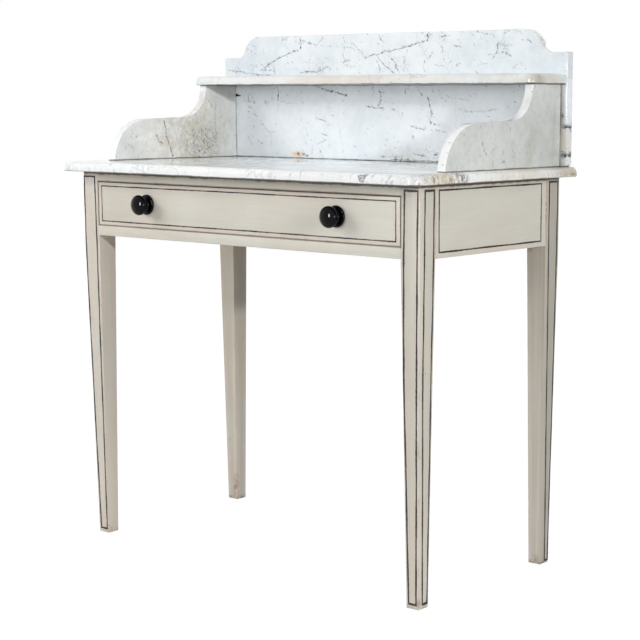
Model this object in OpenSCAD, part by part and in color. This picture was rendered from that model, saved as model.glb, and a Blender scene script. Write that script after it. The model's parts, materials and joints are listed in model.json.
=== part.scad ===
// A washstand table: a marble top, splashback, brackets and shelf on a painted timber frame with one drawer.
// The origin is on the floor, under the middle of the marble top. +X is to the right, -Y to the front, +Z up.
// Sizes are in millimetres.

/* [Timber frame] */
// Width of the frame, outside of leg to outside of leg
frame_w = 838; // [720:1:1100]
// Depth of the frame, front of the front legs to back of the back legs
frame_d = 402; // [360:1:520]
// Height of the frame, floor to the underside of the marble
frame_h = 720; // [640:1:800]
// Section of a leg above its taper
leg_s = 41; // [38:0.5:50]
// Section of a leg at the floor
foot_s = 26; // [18:0.5:34]
// Distance from the lower edge of the aprons down to the start of the taper
taper_drop = 11; // [4:1:60]
// Height of the side and back aprons
apron_h = 123; // [110:1:160]
// Thickness of the side and back aprons
apron_t = 19; // [16:0.5:22]
// Distance that the back apron lies in from the back of the legs
back_apron_inset = 2; // [0:0.5:4]
// Height of the front rail over the drawer
top_rail_h = 19.5; // [16:0.5:26]
// Height of the front rail under the drawer
bottom_rail_h = 20; // [16:0.5:26]
// Depth of both front rails, front to back
rail_d = 40; // [34:1:56]

/* [Frame joints] */
// Thickness of the apron tenons
tenon_t = 9; // [7:0.5:11]
// Wood left in a leg between the end of one apron tenon and the face of the next
tenon_wall = 3; // [2:0.5:5]
// Height of the shoulder above and below the pair of tenons on an apron
tenon_shoulder = 14; // [8:1:20]
// Height of the gap between the two tenons on an apron
tenon_split = 20; // [10:1:30]
// Length of the twin stub tenons on the front rail under the drawer
stub_l = 16; // [10:1:20]
// Thickness of each twin stub tenon, front to back
stub_t = 8; // [6:0.5:10]
// Height of the shoulder above and below each stub tenon
stub_shoulder = 4; // [3:0.5:6]
// Length of the dovetails that hold the top rail in the legs
lap_l = 20; // [14:1:24]
// Width of those dovetails at the shoulder
lap_neck = 22; // [16:1:24]
// Width of those dovetails at the end
lap_tip = 28; // [26:1:30]
// Clearance in every glued joint
joint_gap = 0.1; // [0.05:0.05:0.2]

/* [Drawer running gear] */
// Width of the runners and kickers, measured in from the aprons
runner_w = 40; // [34:1:50]
// Height of the runners under the drawer
runner_h = 20; // [16:0.5:22]
// Length of the tongue on the front of each runner and kicker
tongue_l = 8; // [5:1:12]
// Thickness of that tongue
tongue_t = 7; // [5:0.5:9]
// Height of the guides that steer the drawer sides
guide_h = 18; // [12:1:30]
// Height of the drawer stops
stop_h = 5; // [3:0.5:5.5]
// Width of a drawer stop
stop_w = 38; // [24:1:60]
// Depth of a drawer stop, front to back
stop_d = 14; // [8:1:16]
// Distance from the middle of the drawer to the middle of each stop
stop_x = 190; // [100:1:260]

/* [Drawer] */
// Clearance beside the drawer, each side
drawer_side_gap = 1.2; // [0.6:0.1:2]
// Clearance over the drawer front
drawer_top_gap = 1.5; // [1:0.1:3]
// Running clearance between the drawer and what carries or stops it
run_gap = 0.3; // [0.2:0.05:0.6]
// Distance that the drawer front lies behind the face of the legs
drawer_set_back = 0.4; // [0:0.1:2]
// Free space behind the closed drawer
drawer_rear_gap = 14; // [6:1:40]
// Thickness of the drawer front
drawer_front_t = 19; // [16:0.5:24]
// Thickness of the drawer sides
drawer_side_t = 9.5; // [8:0.5:12]
// Thickness of the drawer back
drawer_back_t = 9.5; // [8:0.5:12]
// Distance that the drawer back stops short of the top of the sides
drawer_back_drop = 6; // [0:1:15]
// Distance that the drawer sides stop short of the top of the front
drawer_side_drop = 1; // [0:0.5:5]
// Thickness of the drawer bottom
bottom_t = 5; // [4:0.5:6]
// Height of the drawer bottom over the lower edge of the sides
bottom_lift = 6; // [6:0.5:9]
// Depth of the grooves that hold the drawer bottom
groove_d = 5; // [3:0.5:6]
// Width of the slips that carry the drawer bottom
slip_w = 10; // [8:0.5:14]
// Height of those slips
slip_h = 17; // [15:0.5:24]
// Width of the flat top of a slip, beside its quarter round
slip_flat = 2; // [1:0.5:4]
// Wood left in the drawer front before its dovetails
dovetail_lap = 5; // [3:0.5:7]
// Number of dovetails at each front corner
front_tails = 3; // [2:1:5]
// Number of dovetails at each back corner
back_tails = 3; // [2:1:4]
// Width of a dovetail pin at its narrow end
pin_w = 4; // [3:0.5:6]
// Slope of the dovetails, as run over rise
dovetail_slope = 7; // [6:1:8]
// Number of nails that hold the drawer bottom to the drawer back
nail_count = 5; // [3:1:9]
// Radius of a nail
nail_r = 1; // [0.8:0.1:1.5]
// Radius of a nail's head
nail_head_r = 2.2; // [1.8:0.1:3]
// Thickness of a nail's head
nail_head_t = 0.8; // [0.5:0.1:1.2]
// Length of a nail
nail_l = 24; // [16:1:30]
// Distance from an outer nail to the end of the drawer bottom
nail_end = 45; // [20:1:80]

/* [Knobs] */
// Distance from the middle of the drawer to each knob
knob_x = 238; // [120:1:280]
// Height of the knobs over the middle of the drawer front
knob_rise = 3; // [-5:0.5:5]
// Radius of a knob's base flange
flange_r = 19; // [14:0.2:22]
// Thickness of the flange at its rounded rim
flange_t = 5; // [4:0.2:7]
// Radius of the neck
neck_r = 8.5; // [7:0.5:10]
// Radius of the coves that run into the neck
cove_r = 4.5; // [3:0.5:5]
// Radius of the head
head_r = 18.8; // [14:0.2:22]
// Distance from the drawer front to the widest part of the head
head_mid = 21.5; // [21:0.5:28]
// Distance from the drawer front to the tip of the head
knob_l = 32; // [31:0.5:40]
// Radius of the head's rounded rim
head_rim_r = 6.5; // [5:0.5:7]
// Radius of the spigot that passes through the drawer front
spigot_r = 6; // [4:0.5:7]

/* [Marble top] */
// Distance that the top stands out past the legs at each side
side_overhang = 25.5; // [10:0.5:50]
// Distance that the top stands out past the front legs
front_overhang = 40; // [38:1:60]
// Distance that the top stands out past the back legs
back_overhang = 18; // [5:1:40]
// Thickness of the top
top_t = 18; // [17:0.5:26]
// Radius of the front corners of the top, seen from above
top_corner_r = 24; // [16:1:40]
// Radius of the upper curve of the moulded edge
edge_top_r = 12; // [6:0.5:13]
// Radius of the lower curve of the moulded edge
edge_low_r = 3; // [1:0.5:4]

/* [Marble splashback] */
// Distance from each end of the splashback to the end of the top
splash_end_inset = 11.5; // [4:0.5:24]
// Thickness of the splashback
splash_t = 18; // [14:0.5:24]
// Height of the splashback at its middle
splash_h = 246; // [225:1:320]
// Height of the flat step at each end
step_h = 204; // [175:1:215]
// Length of the flat step at each end
step_l = 40; // [20:1:80]
// Length of the curve from the step to the top, along the width
shoulder_run = 58; // [50:1:90]
// Radius of the hollow at the foot of that curve
hollow_r = 18; // [8:1:24]
// Radius of the lower corners
foot_corner_r = 6; // [2:0.5:10]
// Distance from the back of the splashback to the back of the top
splash_set_in = 1; // [0:0.5:10]

/* [Marble brackets and shelf] */
// Distance from the outer face of each bracket to the end of the splashback
bracket_inset = 13; // [9:0.5:24]
// Thickness of a bracket
bracket_t = 18; // [14:0.5:24]
// Depth of a bracket at its foot, front to back
bracket_d = 337; // [300:1:400]
// Height of a bracket
bracket_h = 147; // [146:1:180]
// Height of the low run of a bracket
run_h = 80; // [62:1:82]
// Rise of that run towards the back
run_rise = 3; // [0:0.5:3]
// Radius of the rounded nose of a bracket
nose_r = 90; // [82:1:120]
// Radius of the sweep up to the shelf
sweep_r = 62; // [40:1:64]
// Length of the top edge of a bracket, under the shelf
bracket_top_l = 87; // [60:1:110]
// Distance that the shelf stands out past the brackets, at the front
shelf_lip = 10; // [4:0.5:20]
// Distance that the shelf stands out past the brackets, at each end
shelf_end_lip = 10; // [2:0.5:12]
// Thickness of the shelf
shelf_t = 18; // [17:0.5:24]
// Radius of the front corners of the shelf, seen from above
shelf_corner_r = 16; // [14:1:30]
// Radius of the metal dowels in the marble
dowel_r = 2.5; // [2:0.25:4]
// Length of a dowel on each side of its joint
dowel_l = 11; // [8:0.5:12]
// Bedding clearance round a dowel
dowel_gap = 0.15; // [0.1:0.05:0.3]
// Distance from an outer dowel to the end of the piece that it holds
dowel_end = 45; // [30:1:60]

/* [Hidden] */
$fn = 96;
// Reach of shapes that only cut others to size
BIG = 2000;
// Distance that a cut runs past a face, or that joined bodies run into each other
OVER = 1;

// Paint, timber, ebonised, metal and marble colours
PAINT = [0.80, 0.77, 0.71];
PINE = [0.78, 0.62, 0.42];
EBONY = [0.06, 0.06, 0.07];
IRON = [0.35, 0.33, 0.31];
MARBLE = [0.90, 0.91, 0.91];

// Places of the frame
top_w = frame_w + 2 * side_overhang;
top_d = frame_d + front_overhang + back_overhang;
front_y = -top_d / 2 + front_overhang;
back_y = top_d / 2 - back_overhang;
inner_x = frame_w / 2 - leg_s;
apron_x = frame_w / 2 - apron_t;
leg_gap_d = frame_d - 2 * leg_s;
apron_z = frame_h - apron_h;
taper_z = apron_z - taper_drop;
back_inner_y = back_y - back_apron_inset - apron_t;
tenon_l = leg_s - (apron_t + tenon_t) / 2 - back_apron_inset - tenon_wall;
tenon_h = (apron_h - 2 * tenon_shoulder - tenon_split) / 2;
rail_back_y = front_y + rail_d;

// Places of the drawer opening and of the drawer in it
open_z = apron_z + bottom_rail_h;
open_top_z = frame_h - top_rail_h;
drawer_w = 2 * (inner_x - drawer_side_gap);
drawer_z = open_z + run_gap;
drawer_h = open_top_z - drawer_top_gap - drawer_z;
drawer_y = front_y + drawer_set_back;
drawer_back_y = back_inner_y - drawer_rear_gap;
box_front_y = drawer_y + drawer_front_t;
side_h = drawer_h - drawer_side_drop;
box_x = drawer_w / 2 - drawer_side_t;
panel_z = drawer_z + bottom_lift;
panel_w = 2 * (box_x - slip_w + groove_d - joint_gap);
drawer_back_z = panel_z + bottom_t + joint_gap;
drawer_back_h = drawer_z + side_h - drawer_back_drop - drawer_back_z;
front_tail_l = drawer_front_t - dovetail_lap;
knob_z = drawer_z + drawer_h / 2 + knob_rise;

// Places of the marble
marble_z = frame_h + top_t;
splash_w = top_w - 2 * splash_end_inset;
splash_back_y = top_d / 2 - splash_set_in;
splash_y = splash_back_y - splash_t;
bracket_span = splash_w - 2 * bracket_inset;
bracket_y = splash_y - bracket_d;
shelf_z = marble_z + bracket_h;
shelf_w = bracket_span + 2 * shelf_end_lip;
shelf_d = bracket_top_l + shelf_lip;
shelf_dowel_y = splash_y - bracket_top_l / 2;
bracket_dowel_ys = [bracket_y + dowel_end, splash_y - dowel_end];
splash_dowel_xs = [-splash_w / 2 + 2 * dowel_end, 0, splash_w / 2 - 2 * dowel_end];
bracket_mid_x = (bracket_span - bracket_t) / 2;
splash_mid_y = splash_y + splash_t / 2;

// Puts a piece drawn for the right-hand side on side s: 1 is the right, -1 the left
module on_side(s) {
    mirror([s < 0 ? 1 : 0, 0, 0]) children();
}

// Turns an outline drawn in Y and Z into a board from x = 0 to x = t
module board_yz(t) {
    rotate([90, 0, 90]) linear_extrude(height = t) children();
}

// Turns an outline drawn in X and Z into a board from y = 0 to y = t
module board_xz(t) {
    translate([0, t, 0]) rotate([90, 0, 0]) linear_extrude(height = t) children();
}

// Timber frame

// One face of a leg: straight beside the aprons, tapered on both edges below them
module leg_face() {
    inset = (leg_s - foot_s) / 2;
    polygon([[inset, 0], [leg_s - inset, 0], [leg_s, taper_z], [leg_s, frame_h], [0, frame_h], [0, taper_z]]);
}

// A leg with its outer corner at the origin and its body towards +X and +Y
module leg_blank() {
    intersection() {
        board_xz(leg_s) leg_face();
        board_yz(leg_s) leg_face();
    }
}

// The two tenons of an apron end, or with grow their mortises: they start at x = 0 and run towards +X
module apron_tenons(grow) {
    over = grow > 0 ? OVER : 0;
    for (i = [0, 1])
        translate([-over, -tenon_t / 2 - grow, tenon_shoulder + i * (tenon_h + tenon_split) - grow])
            cube([tenon_l + over + grow, tenon_t + 2 * grow, tenon_h + 2 * grow]);
}

// The twin stub tenons of the lower rail, or with grow their mortises, in the same place as apron_tenons
module stub_tenons(grow) {
    over = grow > 0 ? OVER : 0;
    stub_h = bottom_rail_h - 2 * stub_shoulder;
    for (y = [rail_d / 4, rail_d * 3 / 4])
        translate([-over, y - stub_t / 2 - grow, stub_shoulder - grow])
            cube([stub_l + over + grow, stub_t + 2 * grow, stub_h + 2 * grow]);
}

// The lapped dovetail of the upper rail, or with grow its socket
module lap_dovetail(grow) {
    half_neck = lap_neck / 2 + grow;
    half_tip = lap_tip / 2 + grow;
    over = grow > 0 ? OVER : 0;
    translate([0, rail_d / 2, -grow]) linear_extrude(height = top_rail_h + grow + over)
        polygon([[-over, -half_neck], [lap_l + grow, -half_tip], [lap_l + grow, half_tip],
            [-over, half_neck]]);
}

// A leg cut for the side apron, and at the front for the rails or at the back for the back apron
module leg(front) {
    color(PAINT) difference() {
        leg_blank();
        translate([apron_t / 2, leg_s, apron_z]) rotate([0, 0, -90]) apron_tenons(joint_gap);
        if (front) {
            translate([leg_s, 0, apron_z]) mirror([1, 0, 0]) stub_tenons(joint_gap);
            translate([leg_s, 0, frame_h - top_rail_h]) mirror([1, 0, 0]) lap_dovetail(joint_gap);
        } else {
            translate([leg_s, back_apron_inset + apron_t / 2, apron_z])
                mirror([1, 0, 0]) apron_tenons(joint_gap);
        }
    }
}

module leg_front(s) {
    on_side(s) translate([frame_w / 2, front_y, 0]) mirror([1, 0, 0]) leg(true);
}

module leg_back(s) {
    on_side(s) translate([frame_w / 2, back_y, 0]) mirror([1, 0, 0]) mirror([0, 1, 0]) leg(false);
}

// The groove along the back of a front rail for the tongue of a runner or kicker
module tongue_cut(z) {
    in_x = apron_x - runner_w - joint_gap;
    for (s = [-1, 1])
        on_side(s) translate([in_x, rail_d - tongue_l - joint_gap, z - tongue_t / 2 - joint_gap])
            cube([inner_x - in_x + OVER, tongue_l + joint_gap + OVER, tongue_t + 2 * joint_gap]);
}

module front_top_rail() {
    color(PAINT) translate([0, front_y, frame_h - top_rail_h]) {
        difference() {
            translate([-inner_x, 0, 0]) cube([2 * inner_x, rail_d, top_rail_h]);
            tongue_cut(top_rail_h / 2);
        }
        for (s = [-1, 1])
            on_side(s) translate([inner_x, 0, 0]) lap_dovetail(0);
    }
}

module front_bottom_rail() {
    color(PAINT) translate([0, front_y, apron_z]) {
        difference() {
            translate([-inner_x, 0, 0]) cube([2 * inner_x, rail_d, bottom_rail_h]);
            tongue_cut(bottom_rail_h - runner_h / 2);
        }
        for (s = [-1, 1])
            on_side(s) translate([inner_x, 0, 0]) stub_tenons(0);
    }
}

module side_apron(s) {
    color(PAINT) on_side(s) {
        translate([apron_x, front_y + leg_s, apron_z]) cube([apron_t, leg_gap_d, apron_h]);
        translate([apron_x + apron_t / 2, front_y + leg_s, apron_z]) rotate([0, 0, -90]) apron_tenons(0);
        translate([apron_x + apron_t / 2, back_y - leg_s, apron_z]) rotate([0, 0, 90]) apron_tenons(0);
    }
}

module back_apron() {
    color(PAINT) translate([0, back_inner_y, apron_z]) {
        translate([-inner_x, 0, 0]) cube([2 * inner_x, apron_t, apron_h]);
        for (s = [-1, 1])
            on_side(s) translate([inner_x, apron_t / 2, 0]) apron_tenons(0);
    }
}

// Drawer running gear

// A runner or kicker seen from above, notched round both legs
module runner_plan() {
    in_x = apron_x - runner_w;
    leg_y1 = front_y + leg_s;
    leg_y2 = back_y - leg_s;
    polygon([[in_x, rail_back_y], [inner_x, rail_back_y], [inner_x, leg_y1], [apron_x, leg_y1],
        [apron_x, leg_y2], [inner_x, leg_y2], [inner_x, back_inner_y], [in_x, back_inner_y]]);
}

// A runner or kicker of height h with the tongue that enters the front rail
module runner(s, z, h) {
    color(PINE) on_side(s) {
        translate([0, 0, z]) linear_extrude(height = h) runner_plan();
        translate([apron_x - runner_w, rail_back_y - tongue_l, z + (h - tongue_t) / 2])
            cube([inner_x - apron_x + runner_w - joint_gap, tongue_l + OVER, tongue_t]);
    }
}

module drawer_runner(s) {
    runner(s, open_z - runner_h, runner_h);
}

module drawer_kicker(s) {
    runner(s, frame_h - top_rail_h, top_rail_h);
}

module drawer_guide(s) {
    color(PINE) on_side(s) translate([inner_x, front_y + leg_s, open_z])
        cube([apron_x - inner_x, leg_gap_d, guide_h]);
}

module drawer_stops() {
    color(PINE) for (s = [-1, 1])
        translate([s * stop_x - stop_w / 2, box_front_y + run_gap, open_z]) cube([stop_w, stop_d, stop_h]);
}

// Drawer

// A row of n tails over height h, drawn in Y and Z: their tips are at y = 0 and their roots at y = l
module tails(h, n, l, grow) {
    pitch = h / n;
    tip = pitch - pin_w;
    root = tip - 2 * l / dovetail_slope;
    for (i = [0 : n - 1])
        translate([0, (i + 0.5) * pitch])
            polygon([[-grow, -tip / 2 - grow], [-grow, tip / 2 + grow], [l + grow, root / 2 + grow],
                [l + grow, -root / 2 - grow]]);
}

// The dovetails of a drawer side that enter the drawer front
module front_tails_outline(grow) {
    translate([drawer_y + dovetail_lap, drawer_z]) tails(side_h, front_tails, front_tail_l, grow);
}

// The dovetails of a drawer side that pass through the drawer back
module back_tails_outline(grow) {
    translate([drawer_back_y, drawer_back_z])
        mirror([1, 0]) tails(drawer_back_h, back_tails, drawer_back_t, grow);
}

module drawer_side(s) {
    tip_y = drawer_y + dovetail_lap;
    color(PINE) on_side(s) translate([box_x, 0, 0]) board_yz(drawer_side_t) difference() {
        translate([tip_y, drawer_z]) square([drawer_back_y - tip_y, side_h]);
        difference() {
            translate([tip_y - OVER, drawer_z - OVER]) square([front_tail_l + OVER, side_h + 2 * OVER]);
            front_tails_outline(0);
        }
        difference() {
            translate([drawer_back_y - drawer_back_t, drawer_back_z])
                square([drawer_back_t + OVER, drawer_back_h]);
            back_tails_outline(0);
        }
    }
}

module drawer_front() {
    color(PAINT) difference() {
        translate([-drawer_w / 2, drawer_y, drawer_z]) cube([drawer_w, drawer_front_t, drawer_h]);
        for (s = [-1, 1]) {
            on_side(s) translate([box_x - joint_gap, 0, 0]) board_yz(drawer_side_t + OVER + joint_gap)
                front_tails_outline(joint_gap);
            translate([s * knob_x, drawer_y - OVER, knob_z]) rotate([-90, 0, 0])
                cylinder(r = spigot_r + joint_gap, h = drawer_front_t + 2 * OVER);
        }
        translate([-panel_w / 2 - joint_gap, box_front_y - groove_d, panel_z - joint_gap])
            cube([panel_w + 2 * joint_gap, groove_d + OVER, bottom_t + 2 * joint_gap]);
    }
}

module drawer_back() {
    color(PINE) difference() {
        union() {
            translate([-box_x + joint_gap, drawer_back_y - drawer_back_t, drawer_back_z])
                cube([2 * (box_x - joint_gap), drawer_back_t, drawer_back_h]);
            for (s = [-1, 1])
                on_side(s) translate([box_x - OVER, 0, 0]) board_yz(drawer_side_t + OVER) difference() {
                    translate([drawer_back_y - drawer_back_t + joint_gap, drawer_back_z])
                        square([drawer_back_t - joint_gap, drawer_back_h]);
                    back_tails_outline(joint_gap);
                }
        }
        nails(joint_gap);
    }
}

module drawer_bottom() {
    color(PINE) difference() {
        translate([-panel_w / 2, box_front_y - groove_d + joint_gap, panel_z])
            cube([panel_w, drawer_back_y - box_front_y + groove_d - joint_gap, bottom_t]);
        nails(joint_gap);
    }
}

// A slip seen from the front: a quarter-round top inside the drawer side, with the groove for the bottom
module slip_section() {
    round_r = slip_w - slip_flat;
    difference() {
        union() {
            translate([-slip_w, 0]) square([slip_w, slip_h - round_r]);
            translate([-slip_flat, 0]) square([slip_flat, slip_h]);
            intersection() {
                translate([-slip_flat, slip_h - round_r]) circle(r = round_r);
                translate([-slip_w, slip_h - round_r]) square([slip_w, round_r]);
            }
        }
        translate([-slip_w - OVER, bottom_lift - joint_gap])
            square([groove_d + OVER, bottom_t + 2 * joint_gap]);
    }
}

module drawer_slip(s) {
    color(PINE) on_side(s) translate([box_x, box_front_y, drawer_z])
        board_xz(drawer_back_y - drawer_back_t - box_front_y) slip_section();
}

// Nails with countersunk heads from under the drawer bottom, or with grow their holes
module nails(grow) {
    over = grow > 0 ? OVER : 0;
    span = panel_w - 2 * nail_end;
    for (i = [0 : nail_count - 1])
        translate([-span / 2 + i * span / (nail_count - 1), drawer_back_y - drawer_back_t / 2, panel_z]) {
            translate([0, 0, -over]) cylinder(r = nail_head_r + grow, h = nail_head_t + over);
            cylinder(r = nail_r + grow, h = nail_l + grow);
        }
}

module drawer_bottom_nails() {
    color(IRON) nails(0);
}

// Knobs

// Half of a knob's section: x is the radius and y the distance from the drawer front
module knob_section() {
    rim_x = head_r - head_rim_r;
    cap_y = knob_l - head_rim_r;
    dome_y = (pow(cap_y, 2) - pow(rim_x, 2) - pow(head_mid, 2)) / (2 * (cap_y - head_mid));
    neck_y = head_mid - head_rim_r - cove_r;
    intersection() {
        translate([0, -BIG]) square([BIG, 2 * BIG]);
        union() {
            square([flange_r - flange_t / 2, flange_t]);
            translate([flange_r - flange_t / 2, flange_t / 2]) circle(r = flange_t / 2);
            difference() {
                square([neck_r + cove_r, flange_t + cove_r]);
                translate([neck_r + cove_r, flange_t + cove_r]) circle(r = cove_r);
            }
            square([neck_r, head_mid]);
            difference() {
                translate([0, neck_y]) square([neck_r + cove_r, head_rim_r + cove_r]);
                translate([neck_r + cove_r, neck_y]) circle(r = cove_r);
            }
            translate([0, head_mid - head_rim_r]) square([rim_x, head_rim_r]);
            translate([rim_x, head_mid]) circle(r = head_rim_r);
            intersection() {
                translate([0, dome_y]) circle(r = knob_l - dome_y);
                polygon([[0, dome_y], [BIG * rim_x, dome_y + BIG * (head_mid - dome_y)], [0, BIG * knob_l]]);
            }
            polygon([[0, head_mid - OVER], [rim_x, head_mid - OVER], [rim_x, head_mid],
                [0, head_mid + OVER]]);
        }
    }
}

module knob(s) {
    color(EBONY) translate([s * knob_x, drawer_y, knob_z]) rotate([90, 0, 0]) {
        rotate_extrude() knob_section();
        translate([0, 0, -drawer_front_t]) cylinder(r = spigot_r, h = drawer_front_t + OVER);
    }
}

// Marble

// The moulded edge in section: it runs from x = 0 out to its nose at x = l
module edge_section(l, t) {
    top_x = l - edge_top_r;
    low_x = l - edge_low_r;
    square([top_x, t]);
    translate([top_x, 0]) square([edge_top_r - edge_low_r, t - edge_top_r]);
    translate([low_x, edge_low_r]) square([edge_low_r, t - edge_top_r - edge_low_r]);
    translate([top_x, t - edge_top_r]) intersection() {
        circle(r = edge_top_r);
        translate([-OVER, -OVER]) square(edge_top_r + OVER);
    }
    translate([low_x, edge_low_r]) intersection() {
        circle(r = edge_low_r);
        translate([-OVER, -edge_low_r]) square(edge_low_r + OVER);
    }
}

// A marble board with its moulded edge round the front and both ends, and rounded front corners.
// Its back face lies at y = 0 and its underside at z = 0.
module moulded_board(w, d, t, corner_r) {
    half = w / 2 - corner_r;
    translate([-half, -d + corner_r, 0]) cube([2 * half, d - corner_r, t]);
    translate([-half, -d + corner_r, 0]) rotate([90, 0, 90]) linear_extrude(height = 2 * half)
        mirror([1, 0]) edge_section(corner_r, t);
    for (s = [-1, 1])
        on_side(s) translate([half, 0, 0]) {
            rotate([90, 0, 0]) linear_extrude(height = d - corner_r) edge_section(corner_r, t);
            translate([0, -d + corner_r, 0]) rotate([0, 0, -90])
                rotate_extrude(angle = 90) edge_section(corner_r, t);
        }
}

// Vertical dowels at a list of places, or with grow their holes
module dowels(places, grow) {
    for (p = places)
        translate([p[0], p[1], p[2] - dowel_l - grow])
            cylinder(r = dowel_r + grow, h = 2 * (dowel_l + grow));
}

splash_dowel_places = [for (x = splash_dowel_xs) [x, splash_mid_y, marble_z]];
bracket_dowel_places = [for (s = [-1, 1], y = bracket_dowel_ys) [s * bracket_mid_x, y, marble_z]];
shelf_dowel_places = [for (s = [-1, 1]) [s * bracket_mid_x, shelf_dowel_y, shelf_z]];

module marble_top() {
    color(MARBLE) difference() {
        translate([0, top_d / 2, frame_h]) moulded_board(top_w, top_d, top_t, top_corner_r);
        dowels(splash_dowel_places, dowel_gap);
        dowels(bracket_dowel_places, dowel_gap);
    }
}

// The right half of the splashback's outline, from its middle: step, hollow, shoulder and flat top
module splash_half() {
    half = splash_w / 2;
    rise = splash_h - step_h;
    both_r = (pow(shoulder_run, 2) + pow(rise, 2)) / (2 * rise);
    shoulder_r = both_r - hollow_r;
    hollow_x = half - step_l;
    shoulder_x = hollow_x - shoulder_run;
    tangent = shoulder_r / both_r;
    tangent_x = shoulder_x + shoulder_run * tangent;
    tangent_z = splash_h - shoulder_r + (step_h + hollow_r - splash_h + shoulder_r) * tangent;
    square([half - foot_corner_r, step_h]);
    translate([half - foot_corner_r, foot_corner_r]) square([foot_corner_r, step_h - foot_corner_r]);
    translate([half - foot_corner_r, foot_corner_r]) circle(r = foot_corner_r);
    translate([0, step_h - OVER]) square([shoulder_x, rise + OVER]);
    intersection() {
        translate([shoulder_x, splash_h - shoulder_r]) circle(r = shoulder_r);
        translate([shoulder_x, step_h - OVER]) square([half, rise + OVER]);
    }
    difference() {
        polygon([[shoulder_x, step_h - OVER], [hollow_x, step_h - OVER], [hollow_x, step_h],
            [tangent_x, tangent_z], [shoulder_x, tangent_z]]);
        translate([hollow_x, step_h + hollow_r]) circle(r = hollow_r);
    }
}

module marble_splashback() {
    color(MARBLE) difference() {
        translate([0, splash_y, marble_z]) board_xz(splash_t) for (s = [0, 1])
            mirror([s, 0]) splash_half();
        dowels(splash_dowel_places, dowel_gap);
    }
}

// A bracket seen from the side, drawn in Y and Z from its foot at the splashback:
// rounded nose, low run and sweep
module bracket_outline() {
    nose_y = -bracket_d + sqrt(pow(nose_r, 2) - pow(nose_r - run_h, 2));
    sweep_y = -bracket_top_l - sweep_r;
    sweep_z = run_h + run_rise + sweep_r;
    difference() {
        polygon([[nose_y, 0], [0, 0], [0, bracket_h], [-bracket_top_l, bracket_h], [-bracket_top_l, sweep_z],
            [sweep_y, sweep_z], [sweep_y, run_h + run_rise], [nose_y, run_h]]);
        translate([sweep_y, sweep_z]) circle(r = sweep_r);
    }
    intersection() {
        translate([nose_y, run_h - nose_r]) circle(r = nose_r);
        translate([-bracket_d - OVER, 0]) square([nose_y + bracket_d + 2 * OVER, run_h]);
    }
}

module marble_bracket(s) {
    color(MARBLE) difference() {
        on_side(s) translate([bracket_span / 2 - bracket_t, splash_y, marble_z])
            board_yz(bracket_t) bracket_outline();
        dowels(bracket_dowel_places, dowel_gap);
        dowels(shelf_dowel_places, dowel_gap);
    }
}

module marble_shelf() {
    color(MARBLE) difference() {
        translate([0, splash_y, shelf_z]) moulded_board(shelf_w, shelf_d, shelf_t, shelf_corner_r);
        dowels(shelf_dowel_places, dowel_gap);
    }
}

module splashback_dowels() {
    color(IRON) dowels(splash_dowel_places, 0);
}

module bracket_dowels() {
    color(IRON) dowels(bracket_dowel_places, 0);
}

module shelf_dowels() {
    color(IRON) dowels(shelf_dowel_places, 0);
}

leg_front(-1);  // leg_front_left
leg_front(1);  // leg_front_right
leg_back(-1);  // leg_back_left
leg_back(1);  // leg_back_right
front_top_rail();
front_bottom_rail();
side_apron(-1);  // side_apron_left
side_apron(1);  // side_apron_right
back_apron();
drawer_runner(-1);  // drawer_runner_left
drawer_runner(1);  // drawer_runner_right
drawer_kicker(-1);  // drawer_kicker_left
drawer_kicker(1);  // drawer_kicker_right
drawer_guide(-1);  // drawer_guide_left
drawer_guide(1);  // drawer_guide_right
drawer_stops();
drawer_front();
drawer_side(-1);  // drawer_side_left
drawer_side(1);  // drawer_side_right
drawer_back();
drawer_bottom();
drawer_slip(-1);  // drawer_slip_left
drawer_slip(1);  // drawer_slip_right
drawer_bottom_nails();
knob(-1);  // knob_left
knob(1);  // knob_right
marble_top();
marble_splashback();
marble_bracket(-1);  // marble_bracket_left
marble_bracket(1);  // marble_bracket_right
marble_shelf();
splashback_dowels();
bracket_dowels();
shelf_dowels();
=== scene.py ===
"""Looks of a marble-topped washstand table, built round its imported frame.

Timber and marble pieces are copies of the frame's nodes with eased, worn and chipped edges. The painted
lining and the small wedge under the shelf are new pieces. Places are in metres unless a docstring says
otherwise, in the frame's own axes: +X to the right, -Y to the front, +Z up, with the floor at z = 0.
"""

from __future__ import annotations

import json
import logging
import math
import random
from contextlib import contextmanager
from dataclasses import dataclass, field, replace
from enum import Enum
from typing import Callable, Iterator, Optional, Sequence, Union

import bmesh
import bpy
from mathutils import Matrix, Vector

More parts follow.
